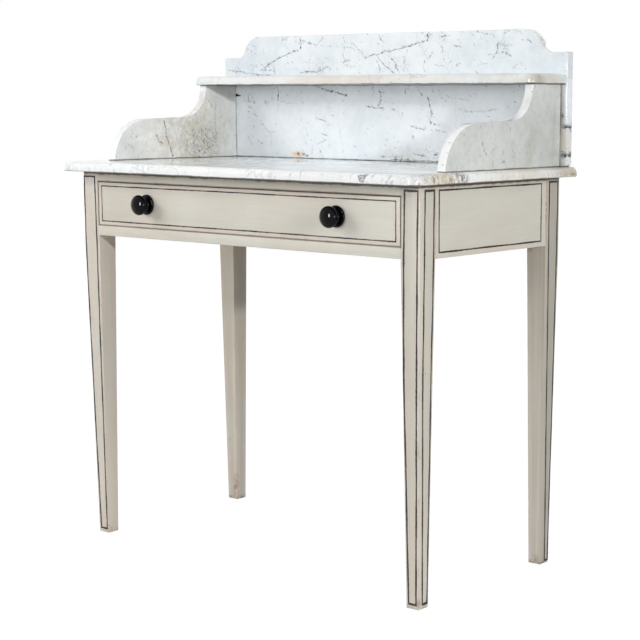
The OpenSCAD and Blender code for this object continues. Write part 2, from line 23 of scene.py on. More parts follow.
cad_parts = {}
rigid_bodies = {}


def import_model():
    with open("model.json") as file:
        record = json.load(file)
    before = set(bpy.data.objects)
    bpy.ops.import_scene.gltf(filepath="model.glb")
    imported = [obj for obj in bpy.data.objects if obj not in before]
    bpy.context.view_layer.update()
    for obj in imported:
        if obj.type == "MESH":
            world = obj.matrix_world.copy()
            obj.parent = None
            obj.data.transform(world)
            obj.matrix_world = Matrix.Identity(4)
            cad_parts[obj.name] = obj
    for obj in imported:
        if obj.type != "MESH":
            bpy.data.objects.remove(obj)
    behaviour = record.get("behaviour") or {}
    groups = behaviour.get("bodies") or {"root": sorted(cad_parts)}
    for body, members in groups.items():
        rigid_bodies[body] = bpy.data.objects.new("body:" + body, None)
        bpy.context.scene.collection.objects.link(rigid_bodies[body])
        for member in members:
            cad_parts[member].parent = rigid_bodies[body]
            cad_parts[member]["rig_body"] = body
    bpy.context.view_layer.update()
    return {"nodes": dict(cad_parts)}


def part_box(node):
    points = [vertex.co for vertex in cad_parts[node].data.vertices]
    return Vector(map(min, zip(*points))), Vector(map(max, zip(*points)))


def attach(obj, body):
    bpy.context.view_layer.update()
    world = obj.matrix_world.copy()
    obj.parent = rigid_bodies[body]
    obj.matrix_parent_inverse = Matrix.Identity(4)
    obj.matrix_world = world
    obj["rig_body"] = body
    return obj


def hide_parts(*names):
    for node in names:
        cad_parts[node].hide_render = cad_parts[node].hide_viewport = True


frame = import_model()

MM = 0.001
PHOTO_SIDE = 640
LOG = logging.getLogger("washstand")

Colour = tuple[float, float, float, float]
Socket = bpy.types.NodeSocket
Feed = Union[Socket, float, Sequence[float]]
Piece = bpy.types.Object
Spot = tuple[float, float, float]


def srgb(red: int, green: int, blue: int) -> Colour:
    """Turns a colour as it is seen, 0 to 255 a channel, into the linear colour of a shader.

    Args:
        red: Red, 0 to 255.
        green: Green, 0 to 255.
        blue: Blue, 0 to 255.

    Returns:
        The linear colour with full alpha.
    """
    def linear(value: float) -> float:
        """Undoes the display curve of one channel."""
        return value / 12.92 if value <= 0.04045 else ((value + 0.055) / 1.055) ** 2.4

    return (linear(red / 255), linear(green / 255), linear(blue / 255), 1.0)


class Along(Enum):
    """The axis along which the grain or a pattern of a piece runs."""

    X = 0
    Y = 1
    Z = 2


class Pick(Enum):
    """What an edit-mode step selects."""

    VERTS = "VERT"
    EDGES = "EDGE"
    FACES = "FACE"


class Shine(Enum):
    """What a lamp does: it lights only, it also shows in polish, or it shows in polish only."""

    LIGHT = (True, False)
    BOTH = (True, True)
    GLINT = (False, True)


class Plane(Enum):
    """The two axes of a face that a pattern is drawn on."""

    FRONT = (0, 2)
    SIDE = (1, 2)
    TOP = (0, 1)


class Bench:
    """The modelling steps that several pieces share."""

    SHARP = math.radians(30)
    WELD = 0.01 * MM
    FLAT = math.radians(0.5)

    @staticmethod
    def take(piece: Piece) -> None:
        """Makes one piece the only selected and active one."""
        bpy.ops.object.select_all(action="DESELECT")
        piece.select_set(True)
        bpy.context.view_layer.objects.active = piece

    @staticmethod
    @contextmanager
    def editing(piece: Piece, pick: Pick) -> Iterator[bmesh.types.BMesh]:
        """Opens a piece in edit mode with nothing selected, and closes it again.

        Args:
            piece: The piece to edit.
            pick: Whether vertices, edges or faces are selected.

        Yields:
            The edit mesh.
        """
        Bench.take(piece)
        bpy.ops.object.mode_set(mode="EDIT")
        bpy.ops.mesh.select_mode(type=pick.value)
        bpy.ops.mesh.select_all(action="DESELECT")
        yield bmesh.from_edit_mesh(piece.data)
        bpy.ops.object.mode_set(mode="OBJECT")

    @staticmethod
    def copy_node(node: str, name: str) -> Piece:
        """Copies a node of the frame as a welded piece of flat faces, and hides the node behind it.

        Args:
            node: The frame's node.
            name: The name of the new piece.

        Returns:
            The new piece, which rides with the node's body.
        """
        source = frame["nodes"][node]
        piece = bpy.data.objects.new(name, source.data.copy())
        bpy.context.scene.collection.objects.link(piece)
        Bench.take(piece)
        bpy.ops.mesh.customdata_custom_splitnormals_clear()
        with Bench.editing(piece, Pick.VERTS):
            bpy.ops.mesh.select_all(action="SELECT")
            bpy.ops.mesh.remove_doubles(threshold=Bench.WELD)
            bpy.ops.mesh.dissolve_limited(angle_limit=Bench.FLAT)
        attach(piece, source["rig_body"])
        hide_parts(node)
        return piece

    @staticmethod
    def ease(piece: Piece, radius: float, where: Callable[[Vector, Vector], bool], segments: int = 2,
             worn_slot: int = 1) -> None:
        """Rounds the sharp edges that a test picks out.

        Args:
            piece: The piece.
            radius: How far the rounding reaches from the edge.
            where: Tells from an edge's two ends whether it is rounded.
            segments: The number of faces across the rounding.
            worn_slot: The material slot of the new faces.
        """
        with Bench.editing(piece, Pick.EDGES) as mesh:
            bpy.ops.mesh.edges_select_sharp(sharpness=Bench.SHARP)
            for edge in mesh.edges:
                if edge.select and not where(edge.verts[0].co, edge.verts[1].co):
                    edge.select_set(False)
            mesh.select_flush_mode()
            bmesh.update_edit_mesh(piece.data)
            bpy.ops.mesh.bevel(offset=radius, segments=segments, profile=0.5, material=worn_slot,
                               clamp_overlap=True)

    @staticmethod
    def smooth(piece: Piece) -> None:
        """Shades a piece smooth, apart from its sharp edges."""
        Bench.take(piece)
        bpy.ops.object.shade_smooth_by_angle(angle=Bench.SHARP)

    @staticmethod
    def dress(piece: Piece, *materials: bpy.types.Material) -> None:
        """Gives a piece its materials, one a slot, in order."""
        slots = piece.data.materials
        for index, material in enumerate(materials):
            if index < len(slots):
                slots[index] = material
            else:
                slots.append(material)

    @staticmethod
    def hand_over(piece: Piece, body: str, slot: str) -> None:
        """Lets a new piece ride on a body, and reports it.

        Args:
            piece: The finished piece.
            body: The body that it moves with.
            slot: Not used.
        """
        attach(piece, body)
        LOG.info("made %s on %s, %d faces", piece.name, body, len(piece.data.polygons))


class Nodes:
    """One node tree under construction: short calls that add nodes and link them."""

    def __init__(self, tree: bpy.types.NodeTree) -> None:
        """Takes a tree over and empties it."""
        self.tree = tree
        self.tree.nodes.clear()

    def add(self, kind: str, feeds: Optional[dict[str | int, Feed]] = None,
            **settings: object) -> bpy.types.Node:
        """Adds a node.

        Args:
            kind: The node's type.
            feeds: What goes into its sockets, by name or number.
            **settings: Its other settings.

        Returns:
            The node.
        """
        node = self.tree.nodes.new(kind)
        for key, value in settings.items():
            setattr(node, key, value)
        for key, value in (feeds or {}).items():
            if isinstance(value, bpy.types.NodeSocket):
                self.tree.links.new(value, node.inputs[key])
            else:
                node.inputs[key].default_value = value
        return node

    def math(self, operation: str, first: Feed, second: Feed = 0.0, third: Feed = 0.0) -> Socket:
        """Adds one step of arithmetic and returns its result."""
        return self.add("ShaderNodeMath", {0: first, 1: second, 2: third}, operation=operation).outputs[0]

    def seen(self) -> Socket:
        """Adds the test that is 1 for what the camera sees, also in a reflection or through glass."""
        path = self.add("ShaderNodeLightPath").outputs
        straight = self.math("MAXIMUM", path["Is Camera Ray"], path["Is Glossy Ray"])
        return self.math("MAXIMUM", straight, path["Is Transmission Ray"])


class Graph(Nodes):
    """One material under construction, laid out on the object's own coordinates."""

    def __init__(self, name: str) -> None:
        """Starts a material with object coordinates and no other node."""
        self.material = bpy.data.materials.new(name)
        self.material.use_nodes = True
        super().__init__(self.material.node_tree)
        self.place: Socket = self.add("ShaderNodeTexCoord").outputs["Object"]
        self.axes = self.add("ShaderNodeSeparateXYZ", {"Vector": self.place}).outputs

    def vector(self, operation: str, first: Feed, second: Feed = (0.0, 0.0, 0.0)) -> Socket:
        """Adds one step of vector arithmetic and returns its vector."""
        return self.add("ShaderNodeVectorMath", {0: first, 1: second}, operation=operation).outputs[0]

    def scaled(self, vector: Socket, factor: float) -> Socket:
        """Scales a vector and returns it."""
        feeds = {"Vector": vector, "Scale": factor}
        return self.add("ShaderNodeVectorMath", feeds, operation="SCALE").outputs[0]

    def stretch(self, scale: Sequence[float], turn: Sequence[float] = (0.0, 0.0, 0.0),
                shift: Sequence[float] = (0.0, 0.0, 0.0), place: Optional[Socket] = None) -> Socket:
        """Stretches, turns and shifts the object coordinates.

        Args:
            scale: The scale along each axis.
            turn: The turn about each axis, in radians.
            shift: The shift along each axis.
            place: What is stretched, if it isn't the object coordinates.

        Returns:
            The new coordinates.
        """
        feeds = {"Vector": place or self.place, "Location": shift, "Rotation": turn, "Scale": scale}
        return self.add("ShaderNodeMapping", feeds).outputs[0]

    def noise(self, place: Socket, scale: float, detail: float = 3.0, rough: float = 0.5,
              output: str = "Fac") -> Socket:
        """Adds a noise and returns one of its outputs."""
        feeds = {"Vector": place, "Scale": scale, "Detail": detail, "Roughness": rough}
        return self.add("ShaderNodeTexNoise", feeds).outputs[output]

    def cells(self, place: Socket, scale: float, feature: str = "DISTANCE_TO_EDGE") -> Socket:
        """Adds a cell pattern and returns its distance."""
        feeds = {"Vector": place, "Scale": scale}
        return self.add("ShaderNodeTexVoronoi", feeds, feature=feature).outputs["Distance"]

    def band(self, value: Feed, low: float, high: float, top: float = 1.0) -> Socket:
        """Turns a value smoothly from 0 at low to top at high; low may be the larger.

        Args:
            value: The value.
            low: Where the result is 0.
            high: Where the result is top.
            top: The result at high.

        Returns:
            The result, held between 0 and top.
        """
        ends = {0: value, 1: low, 2: high, 3: 0.0, 4: top}
        if low > high:
            ends = {0: value, 1: high, 2: low, 3: top, 4: 0.0}
        return self.add("ShaderNodeMapRange", ends, interpolation_type="SMOOTHSTEP").outputs[0]

    def mix(self, amount: Feed, first: Feed, second: Feed, blend: str = "MIX") -> Socket:
        """Mixes two colours and returns the result."""
        feeds = {0: amount, 6: first, 7: second}
        return self.add("ShaderNodeMix", feeds, data_type="RGBA", blend_type=blend).outputs[2]

    def near(self, point: Sequence[float], reach: float, place: Optional[Socket] = None) -> Socket:
        """Returns 1 at a point, falling smoothly to 0 at a distance from it."""
        feeds = {0: place or self.place, 1: tuple(point)}
        away = self.add("ShaderNodeVectorMath", feeds, operation="DISTANCE").outputs["Value"]
        return self.band(away, reach, 0.0)

    def edge_distance(self, plane: Plane, centre: Sequence[float], half: Sequence[float]) -> Socket:
        """Measures how far inside a rectangle a point is; outside it is negative.

        Args:
            plane: The two axes of the rectangle.
            centre: Its centre on those axes.
            half: Its half sizes.

        Returns:
            The distance to the nearest side.
        """
        reach = []
        for number, axis in enumerate(plane.value):
            offset = self.math("ABSOLUTE", self.math("SUBTRACT", self.axes[axis], centre[number]))
            reach.append(self.math("SUBTRACT", half[number], offset))
        return self.math("MINIMUM", reach[0], reach[1])

    def bump(self, height: Socket, depth: float) -> Socket:
        """Turns a height of 0 to 1 into a normal, where 1 stands depth metres proud."""
        return self.add("ShaderNodeBump", {"Height": height, "Distance": depth, "Strength": 1.0}).outputs[0]

    def surface(self, colour: Feed, roughness: Feed, normal: Optional[Socket] = None,
                **fixed: Feed) -> bpy.types.Material:
        """Closes the material with its shader.

        Args:
            colour: The base colour.
            roughness: The roughness.
            normal: The bumped normal, if there is one.
            **fixed: Other values of the shader, with underscores for the spaces in their names.

        Returns:
            The finished material.
        """
        feeds: dict[str | int, Feed] = {"Base Color": colour, "Roughness": roughness}
        feeds.update({name.replace("_", " "): value for name, value in fixed.items()})
        if normal is not None:
            feeds["Normal"] = normal
        shader = self.add("ShaderNodeBsdfPrincipled", feeds)
        self.add("ShaderNodeOutputMaterial", {"Surface": shader.outputs[0]})
        return self.material


@dataclass(frozen=True)
class TimberSizes:
    """Sizes of the timber frame, read from its nodes."""

    leg_low: Vector
    leg_high: Vector
    top_rail_low: Vector
    bottom_rail_high: Vector
    foot: float = 26 * MM
    taper_start: float = 586 * MM

    @classmethod
    def read(cls) -> TimberSizes:
        """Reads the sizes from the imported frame."""
        low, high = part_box("leg_front_right")
        return cls(low, high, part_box("front_top_rail")[0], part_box("front_bottom_rail")[1])

    @property
    def leg(self) -> float:
        """The section of a leg above its taper."""
        return self.leg_high.x - self.leg_low.x

    def inset(self, z: float) -> float:
        """How far a leg's face lies in from its upper part, at height z."""
        below = max(0.0, self.taper_start - z) / self.taper_start
        return below * (self.leg - self.foot) / 2

    def leg_middle(self, side: int, back: bool) -> tuple[float, float]:
        """The middle of a leg, seen from above: side is 1 on the right and -1 on the left."""
        low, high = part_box("leg_back_right" if back else "leg_front_right")
        return side * (low.x + high.x) / 2, (low.y + high.y) / 2


@dataclass(frozen=True)
class StainOrPaintedLight:
    """One soft tinted patch in a surface, which a noise breaks up.

    Most patches are stains; some are painted light or painted shade. Its centre and reach are in millimetres.
    Squash narrows its shape along the axes where it is over 1, and widens it where it is under 1. A sparse
    patch shows less of itself.
    """

    centre: Spot
    reach: float
    tint: Colour
    amount: float = 0.6
    scale: float = 60.0
    stretch: Spot = (1.0, 1.0, 1.0)
    squash: Spot = (1.0, 1.0, 1.0)
    sparse: float = 0.0

    def share(self, graph: Graph, here: Socket) -> Socket:
        """Works out how much of the patch shows.

        Args:
            graph: The material under construction.
            here: The coordinates of the noise.

        Returns:
            The share of its tint.
        """
        uneven = graph.noise(graph.stretch(self.stretch, place=here), self.scale, 4.0, 0.65)
        centre = [value * factor * MM for value, factor in zip(self.centre, self.squash)]
        patch = graph.near(centre, self.reach * MM, graph.stretch(self.squash))
        spread = graph.band(uneven, 0.38 + self.sparse, 0.6 + self.sparse)
        return graph.math("MULTIPLY", graph.math("MULTIPLY", patch, spread), self.amount)


@dataclass(frozen=True)
class PaintedTimber:
    """Old eggshell paint brushed along the grain: cloudy tints, specks, dirt, brown rubs, painted light and
    shade.

    A pair of scales is across and along the grain. The opening is the centre and half size of the drawer's
    hole.
    """

    name: str
    grain: Along
    margin: Optional[Callable[[Graph], Socket]] = None
    opening: Optional[tuple[tuple[float, float], tuple[float, float]]] = None
    rubbed: bool = False
    marks: tuple[StainOrPaintedLight, ...] = ()
    # Height where the band of grime and painted shade under the slab begins.
    dirt_and_shade_above: float = 714.5 * MM
    scuffed_below: float = 12 * MM
    corner_reach: float = 7 * MM
    relief: float = 0.12 * MM
    cloud_scale: float = 4.5
    speck_scale: float = 48.0
    brush: tuple[float, float] = (260.0, 9.0)
    wash: tuple[float, float] = (22.0, 5.0)
    rub: tuple[float, float] = (160.0, 40.0)
    cool: Colour = srgb(214, 211, 200)
    warm: Colour = srgb(212, 205, 192)
    blush: Colour = srgb(218, 207, 193)
    brown: Colour = srgb(92, 68, 48)
    # Used for brush marks, and for grime and painted shade in the corners and under the slab.
    grime_or_shade: Colour = srgb(84, 76, 58)

    def stretched(self, graph: Graph, across: float, along: float) -> Socket:
        """Object coordinates scaled across and along the grain."""
        scale = [across] * 3
        scale[self.grain.value] = along
        return graph.stretch(scale)

    def material(self) -> bpy.types.Material:
        """Builds the paint.

        Returns:
            The material.
        """
        graph = Graph(self.name)
        clouds = graph.band(graph.noise(graph.place, self.cloud_scale, 3.0), 0.36, 0.64)
        colour = graph.mix(clouds, self.cool, self.warm)
        if self.margin is not None:
            colour = graph.mix(self.margin(graph), colour, self.blush)
        brush = graph.noise(self.stretched(graph, *self.brush), 1.0, 3.0, 0.6)
        wash = graph.noise(self.stretched(graph, *self.wash), 1.0, 4.0, 0.6)
        shade = graph.math("ADD", graph.band(brush, 0.25, 0.75, 0.05), graph.band(wash, 0.3, 0.7, 0.07))
        colour = graph.mix(graph.math("SUBTRACT", 0.12, shade), colour, self.grime_or_shade)
        colour = self.dirtied_and_shaded(graph, self.specked(graph, colour))
        if self.opening is not None:
            colour = graph.mix(self.opening_rub(graph), colour, self.brown)
        # Marks are stains and wear, and on some legs painted light and painted shade.
        for mark in self.marks:
            colour = graph.mix(mark.share(graph, graph.place), colour, mark.tint)
        if self.rubbed:
            patches = graph.band(graph.noise(self.stretched(graph, *self.rub), 1.0, 4.0), 0.56, 0.74, 0.5)
            colour = graph.mix(patches, graph.mix(0.35, colour, self.blush), self.brown)
        pores = graph.math("MULTIPLY", graph.noise(graph.place, 400.0, 2.0), 0.5)
        height = graph.math("ADD", graph.math("MULTIPLY", brush, 0.5), pores)
        roughness = graph.math("ADD", 0.42, graph.band(wash, 0.3, 0.7, 0.14))
        return graph.surface(colour, roughness, graph.bump(height, self.relief))

    def specked(self, graph: Graph, colour: Socket) -> Socket:
        """Adds small brown specks in loose groups.

        Args:
            graph: The material under construction.
            colour: The paint's colour so far.

        Returns:
            The colour with its specks.
        """
        specks = graph.band(graph.cells(graph.place, self.speck_scale, "F1"), 0.05, 0.025)
        groups = graph.band(graph.noise(graph.place, 14.0, 1.0), 0.6, 0.66, 0.7)
        return graph.mix(graph.math("MULTIPLY", specks, groups), colour, self.brown)

    def dirtied_and_shaded(self, graph: Graph, colour: Socket) -> Socket:
        """Adds grime and painted shade in the corners and under the slab, and brown scuffs at the feet.

        Args:
            graph: The material under construction.
            colour: The paint's colour so far.

        Returns:
            The colour with its dirt and painted shade.
        """
        # Painted shade mixed with grime: corners that ambient occlusion finds shaded are darkened.
        shade = graph.add("ShaderNodeAmbientOcclusion", {"Distance": self.corner_reach}, samples=4)
        corner = graph.band(shade.outputs["AO"], 0.75, 0.25)
        patches = graph.band(graph.noise(graph.place, 30.0, 3.0), 0.3, 0.75, 0.55)
        colour = graph.mix(graph.math("MULTIPLY", corner, patches), colour, self.grime_or_shade)
        # Below the slab, a soft wide band and a narrow dark line darken the paint: grime and painted shade.
        uneven = graph.band(graph.noise(graph.place, 60.0, 3.0), 0.35, 0.7, 1.5 * MM)
        height = graph.math("ADD", graph.axes[2], uneven)
        soft = graph.band(height, self.dirt_and_shade_above - 10 * MM, self.dirt_and_shade_above + 3 * MM, 0.22)
        under = graph.band(height, self.dirt_and_shade_above - MM, self.dirt_and_shade_above + 1.8 * MM, 0.92)
        colour = graph.mix(graph.math("MAXIMUM", soft, under), colour, self.grime_or_shade)
        broken = graph.band(graph.noise(graph.place, 140.0, 4.0, 0.65), 0.4, 0.62, 0.7)
        low = graph.band(graph.axes[2], self.scuffed_below, MM)
        return graph.mix(graph.math("MULTIPLY", low, broken), colour, self.brown)

    def opening_rub(self, graph: Graph) -> Socket:
        """How much the paint is rubbed to brown along the edge of the drawer's opening.

        Args:
            graph: The material under construction.

        Returns:
            The share of brown.
        """
        centre, half = self.opening
        away = graph.math("ABSOLUTE", graph.edge_distance(Plane.FRONT, centre, half))
        uneven = graph.noise(graph.place, 26.0, 4.0, 0.65)
        close = graph.band(away, 2.0 * MM, 0.8 * MM, 0.95)
        patches = graph.band(uneven, 0.42, 0.66, 0.7)
        wide = graph.math("MULTIPLY", graph.band(away, 3.4 * MM, 0.8 * MM), patches)
        return graph.math("MAXIMUM", close, wide)


@dataclass(frozen=True)
class BarePine:
    """Unpainted pine, browned by age, with grain lines along the board."""

    name: str
    grain: Along
    pale: Colour = srgb(206, 172, 124)
    dark: Colour = srgb(150, 108, 66)
    grey: Colour = srgb(120, 104, 84)

    def material(self) -> bpy.types.Material:
        """Builds the bare wood."""
        graph = Graph(self.name)
        scale = [1.0] * 3
        scale[self.grain.value] = 0.07
        along = graph.stretch(scale)
        warp = graph.scaled(graph.noise(along, 9.0, 2.0, output="Color"), 0.05)
        feeds = {"Vector": graph.vector("ADD", along, warp), "Scale": 32.0, "Distortion": 3.0, "Detail": 2.0,
                 "Detail Scale": 1.5}
        heart = "Z" if self.grain != Along.Z else "X"
        rings = graph.add("ShaderNodeTexWave", feeds, wave_type="RINGS", rings_direction=heart)
        lines = graph.band(rings.outputs["Fac"], 0.15, 0.95)
        fibre = graph.noise(graph.stretch([40 * value for value in scale]), 22.0, 3.0, 0.6)
        colour = graph.mix(graph.math("MULTIPLY", lines, 0.55), self.pale, self.dark)
        colour = graph.mix(graph.band(fibre, 0.45, 0.8, 0.35), colour, self.dark)
        colour = graph.mix(graph.band(graph.noise(graph.place, 6.0, 4.0), 0.45, 0.8, 0.5), colour, self.grey)
        return graph.surface(colour, 0.72, graph.bump(graph.math("ADD", fibre, lines), 0.1 * MM))


@dataclass(frozen=True)
class EbonisedWood:
    """Black polished wood with faint turning marks and dust."""

    name: str = "ebonised_gloss"
    black: Colour = srgb(4, 4, 7)
    dusty: Colour = srgb(14, 13, 17)
    relief: float = 0.02 * MM

    def material(self) -> bpy.types.Material:
        """Builds the black polish."""
        graph = Graph(self.name)
        worn = graph.band(graph.noise(graph.place, 90.0, 3.0), 0.5, 0.8)
        colour = graph.mix(worn, self.black, self.dusty)
        turned = graph.noise(graph.stretch((30.0, 900.0, 30.0)), 1.0, 2.0)
        roughness = graph.math("ADD", 0.08, graph.math("MULTIPLY", worn, 0.08))
        return graph.surface(colour, roughness, graph.bump(turned, self.relief), Specular_IOR_Level=0.12)


@dataclass(frozen=True)
class LiningPaint:
    """Thin black lining paint, greyed and broken where it has worn."""

    name: str = "lining_black"
    black: Colour = srgb(10, 10, 9)
    thinned: Colour = srgb(150, 140, 126)

    def material(self) -> bpy.types.Material:
        """Builds the black lining."""
        graph = Graph(self.name)
        worn = graph.band(graph.noise(graph.place, 320.0, 3.0, 0.6), 0.5, 0.7)
        patchy = graph.band(graph.noise(graph.place, 24.0, 3.0), 0.45, 0.7, 0.4)
        thin = graph.math("MULTIPLY", worn, graph.math("ADD", patchy, 0.05))
        colour = graph.mix(thin, self.black, self.thinned)
        return graph.surface(colour, 0.5, graph.bump(worn, 0.04 * MM))


@dataclass(frozen=True)
class OldIron:
    """Dark rusted iron."""

    name: str = "old_iron"
    dark: Colour = srgb(26, 24, 24)
    rust: Colour = srgb(70, 46, 32)

    def material(self) -> bpy.types.Material:
        """Builds the iron."""
        graph = Graph(self.name)
        rough = graph.noise(graph.place, 240.0, 4.0, 0.6)
        colour = graph.mix(graph.band(rough, 0.45, 0.65), self.dark, self.rust)
        return graph.surface(colour, 0.6, graph.bump(rough, 0.1 * MM), Metallic=0.3)


@dataclass(frozen=True)
class Strand:
    """One grey vein across a marble face: points on the face in millimetres, its width and its strength.

    The points run one way along the face's first axis, or along its second axis if the vein is upright.
    """

    path: tuple[tuple[float, float], ...]
    width: float = 2.2
    strength: float = 0.6
    upright: bool = False


@dataclass(frozen=True)
class Marble:
    """Old white marble: grey clouds, jagged broken veins, flecks, yellowed edges and dirt in its joints.

    Foot, head and wall are where it meets the slab, the shelf and the splashback. The line at its head ends
    at a place along X, which is head's second value.
    """

    name: str
    plane: Plane
    seed: float = 0.0
    white: Colour = srgb(239, 243, 245)
    cloud: Colour = srgb(208, 216, 222)
    vein: Colour = srgb(72, 82, 96)
    cream: Colour = srgb(228, 220, 202)
    ochre: Colour = srgb(150, 124, 92)
    # The white of the painted highlight on the faces round the stone's edge.
    bright: Colour = srgb(250, 252, 252)
    stroke: Colour = srgb(132, 142, 154)
    smear: Colour = srgb(88, 76, 62)
    dirt: Colour = srgb(78, 70, 60)
    relief: float = 0.06 * MM
    vein_shake: float = 8.5 * MM
    smear_shake: float = 4 * MM
    clouds: float = 0.5
    network: float = 0.5
    flecks: float = 0.5
    fleck_turn: float = 0.5
    fleck_size: tuple[float, float] = (0.034, 0.0045)
    edge_tint: float = 0.0
    # How much the faces round the stone's edge are lightened as a painted highlight.
    rim: float = 0.0
    strokes: float = 0.0
    foot: Optional[float] = None
    head: Optional[tuple[float, float]] = None
    wall: Optional[float] = None
    strands: tuple[Strand, ...] = ()
    grime_or_shade: tuple[Strand, ...] = ()
    # Stains, and on some pieces patches of painted shade.
    stains_or_painted_shade: tuple[StainOrPaintedLight, ...] = ()

    def material(self) -> bpy.types.Material:
        """Builds the marble.

        Returns:
            The material.
        """
        graph = Graph(self.name)
        here = graph.stretch((1.0, 1.0, 1.0), shift=(self.seed, self.seed * 0.7, -self.seed))
        veins = self.veins(graph, here)
        soft = graph.band(graph.noise(here, 8.0, 5.0, 0.6), 0.36, 0.72)
        fine = graph.band(graph.noise(here, 75.0, 4.0, 0.65), 0.4, 0.75)
        grey = graph.math("MULTIPLY", graph.math("ADD", soft, graph.math("MULTIPLY", fine, 0.5)), self.clouds)
        colour = graph.mix(grey, self.white, self.cloud)
        colour = self.edged(graph, here, colour)
        # Stains, and on the right bracket and the splashback's right end, painted shade.
        for stain in self.stains_or_painted_shade:
            colour = graph.mix(stain.share(graph, here), colour, stain.tint)
        colour = graph.mix(veins, colour, self.vein)
        if self.grime_or_shade:
            colour = graph.mix(self.placed(graph, self.grime_or_shade, here, self.smear_shake), colour, self.smear)
        colour = self.jointed(graph, here, colour)
        height = graph.math("ADD", graph.noise(here, 55.0, 4.0), graph.math("MULTIPLY", veins, -0.4))
        roughness = graph.math("ADD", 0.07, graph.band(graph.noise(here, 30.0, 4.0), 0.4, 0.75, 0.1))
        return graph.surface(colour, roughness, graph.bump(height, self.relief))

    def edged(self, graph: Graph, here: Socket, colour: Socket) -> Socket:
        """Colours the faces round the stone's edge: yellowed and rusty, painted highlight, or grey strokes.

        Args:
            graph: The material under construction.
            here: The piece's own pattern coordinates.
            colour: The marble's colour so far.

        Returns:
            The colour with its edges.
        """
        if self.edge_tint > 0:
            colour = graph.mix(self.yellowing(graph, here), colour, self.cream)
            rust = graph.band(graph.noise(here, 24.0, 5.0, 0.7), 0.58, 0.78, 0.45 * self.edge_tint)
            colour = graph.mix(graph.math("MULTIPLY", rust, self.side_faces(graph)), colour, self.ochre)
        # Painted highlight: the faces round the edge are lightened towards white.
        if self.rim > 0:
            colour = graph.mix(graph.math("MULTIPLY", self.rim_faces(graph), self.rim), colour, self.bright)
        if self.strokes > 0:
            drawn = graph.noise(graph.stretch((1.0, 1.0, 0.2), place=here), 130.0, 3.0, 0.6)
            spread = graph.band(graph.noise(here, 11.0, 3.0), 0.4, 0.62)
            drawn = graph.math("MULTIPLY", graph.band(drawn, 0.54, 0.7, self.strokes), spread)
            colour = graph.mix(graph.math("MULTIPLY", drawn, self.side_faces(graph)), colour, self.stroke)
        return colour

    def jointed(self, graph: Graph, here: Socket, colour: Socket) -> Socket:
        """Darkens the lines where the piece stands on the slab and meets the splashback.

        Args:
            graph: The material under construction.
            here: The piece's own pattern coordinates.
            colour: The marble's colour so far.

        Returns:
            The colour with its dirty joints.
        """
        uneven = graph.band(graph.noise(here, 40.0, 3.0), 0.3, 0.7, 0.9 * MM)
        if self.foot is not None:
            height = graph.math("SUBTRACT", graph.axes[2], uneven)
            line = graph.band(height, self.foot + 1.6 * MM, self.foot + 0.5 * MM, 0.8)
            colour = graph.mix(line, colour, self.dirt)
        if self.head is not None:
            top, end = self.head
            height = graph.math("ADD", graph.axes[2], uneven)
            line = graph.band(height, top - 1.1 * MM, top - 0.4 * MM, 0.7)
            line = graph.math("MULTIPLY", line, graph.band(graph.axes[0], end, end - MM))
            colour = graph.mix(line, colour, self.dirt)
        if self.wall is not None:
            depth = graph.math("ADD", graph.axes[1], uneven)
            line = graph.band(depth, self.wall - 2.0 * MM, self.wall - 0.3 * MM, 0.75)
            colour = graph.mix(line, colour, self.dirt)
        return colour

    @staticmethod
    def turned_from(graph: Graph, axis: int, low: float, high: float) -> Socket:
        """Tells the faces that look along an axis, either way, from those that don't.

        Args:
            graph: The material under construction.
            axis: The axis.
            low: The part of the normal along the axis where the result is 0.
            high: The part of the normal along the axis where the result is 1.

        Returns:
            0 on faces that look along the axis, and 1 on the others.
        """
        normal = graph.add("ShaderNodeNewGeometry").outputs["Normal"]
        along = graph.add("ShaderNodeSeparateXYZ", {"Vector": normal}).outputs[axis]
        return graph.band(graph.math("ABSOLUTE", along), low, high)

    def side_faces(self, graph: Graph) -> Socket:
        """Returns 1 on faces that look sideways and 0 on faces that look up."""
        return self.turned_from(graph, 2, 0.98, 0.75)

    def rim_faces(self, graph: Graph) -> Socket:
        """Returns 0 on the broad faces of the stone and 1 on the faces round its rim."""
        return self.turned_from(graph, 3 - sum(self.plane.value), 0.95, 0.7)

    def yellowing(self, graph: Graph, here: Socket) -> Socket:
        """How much a moulded edge has yellowed.

        Args:
            graph: The material under construction.
            here: The piece's own pattern coordinates.

        Returns:
            The share of cream.
        """
        uneven = graph.math("ADD", 0.3, graph.band(graph.noise(here, 9.0, 4.0, 0.6), 0.35, 0.7, 0.7))
        share = graph.math("MULTIPLY", uneven, self.edge_tint)
        return graph.math("MULTIPLY", self.side_faces(graph), share)

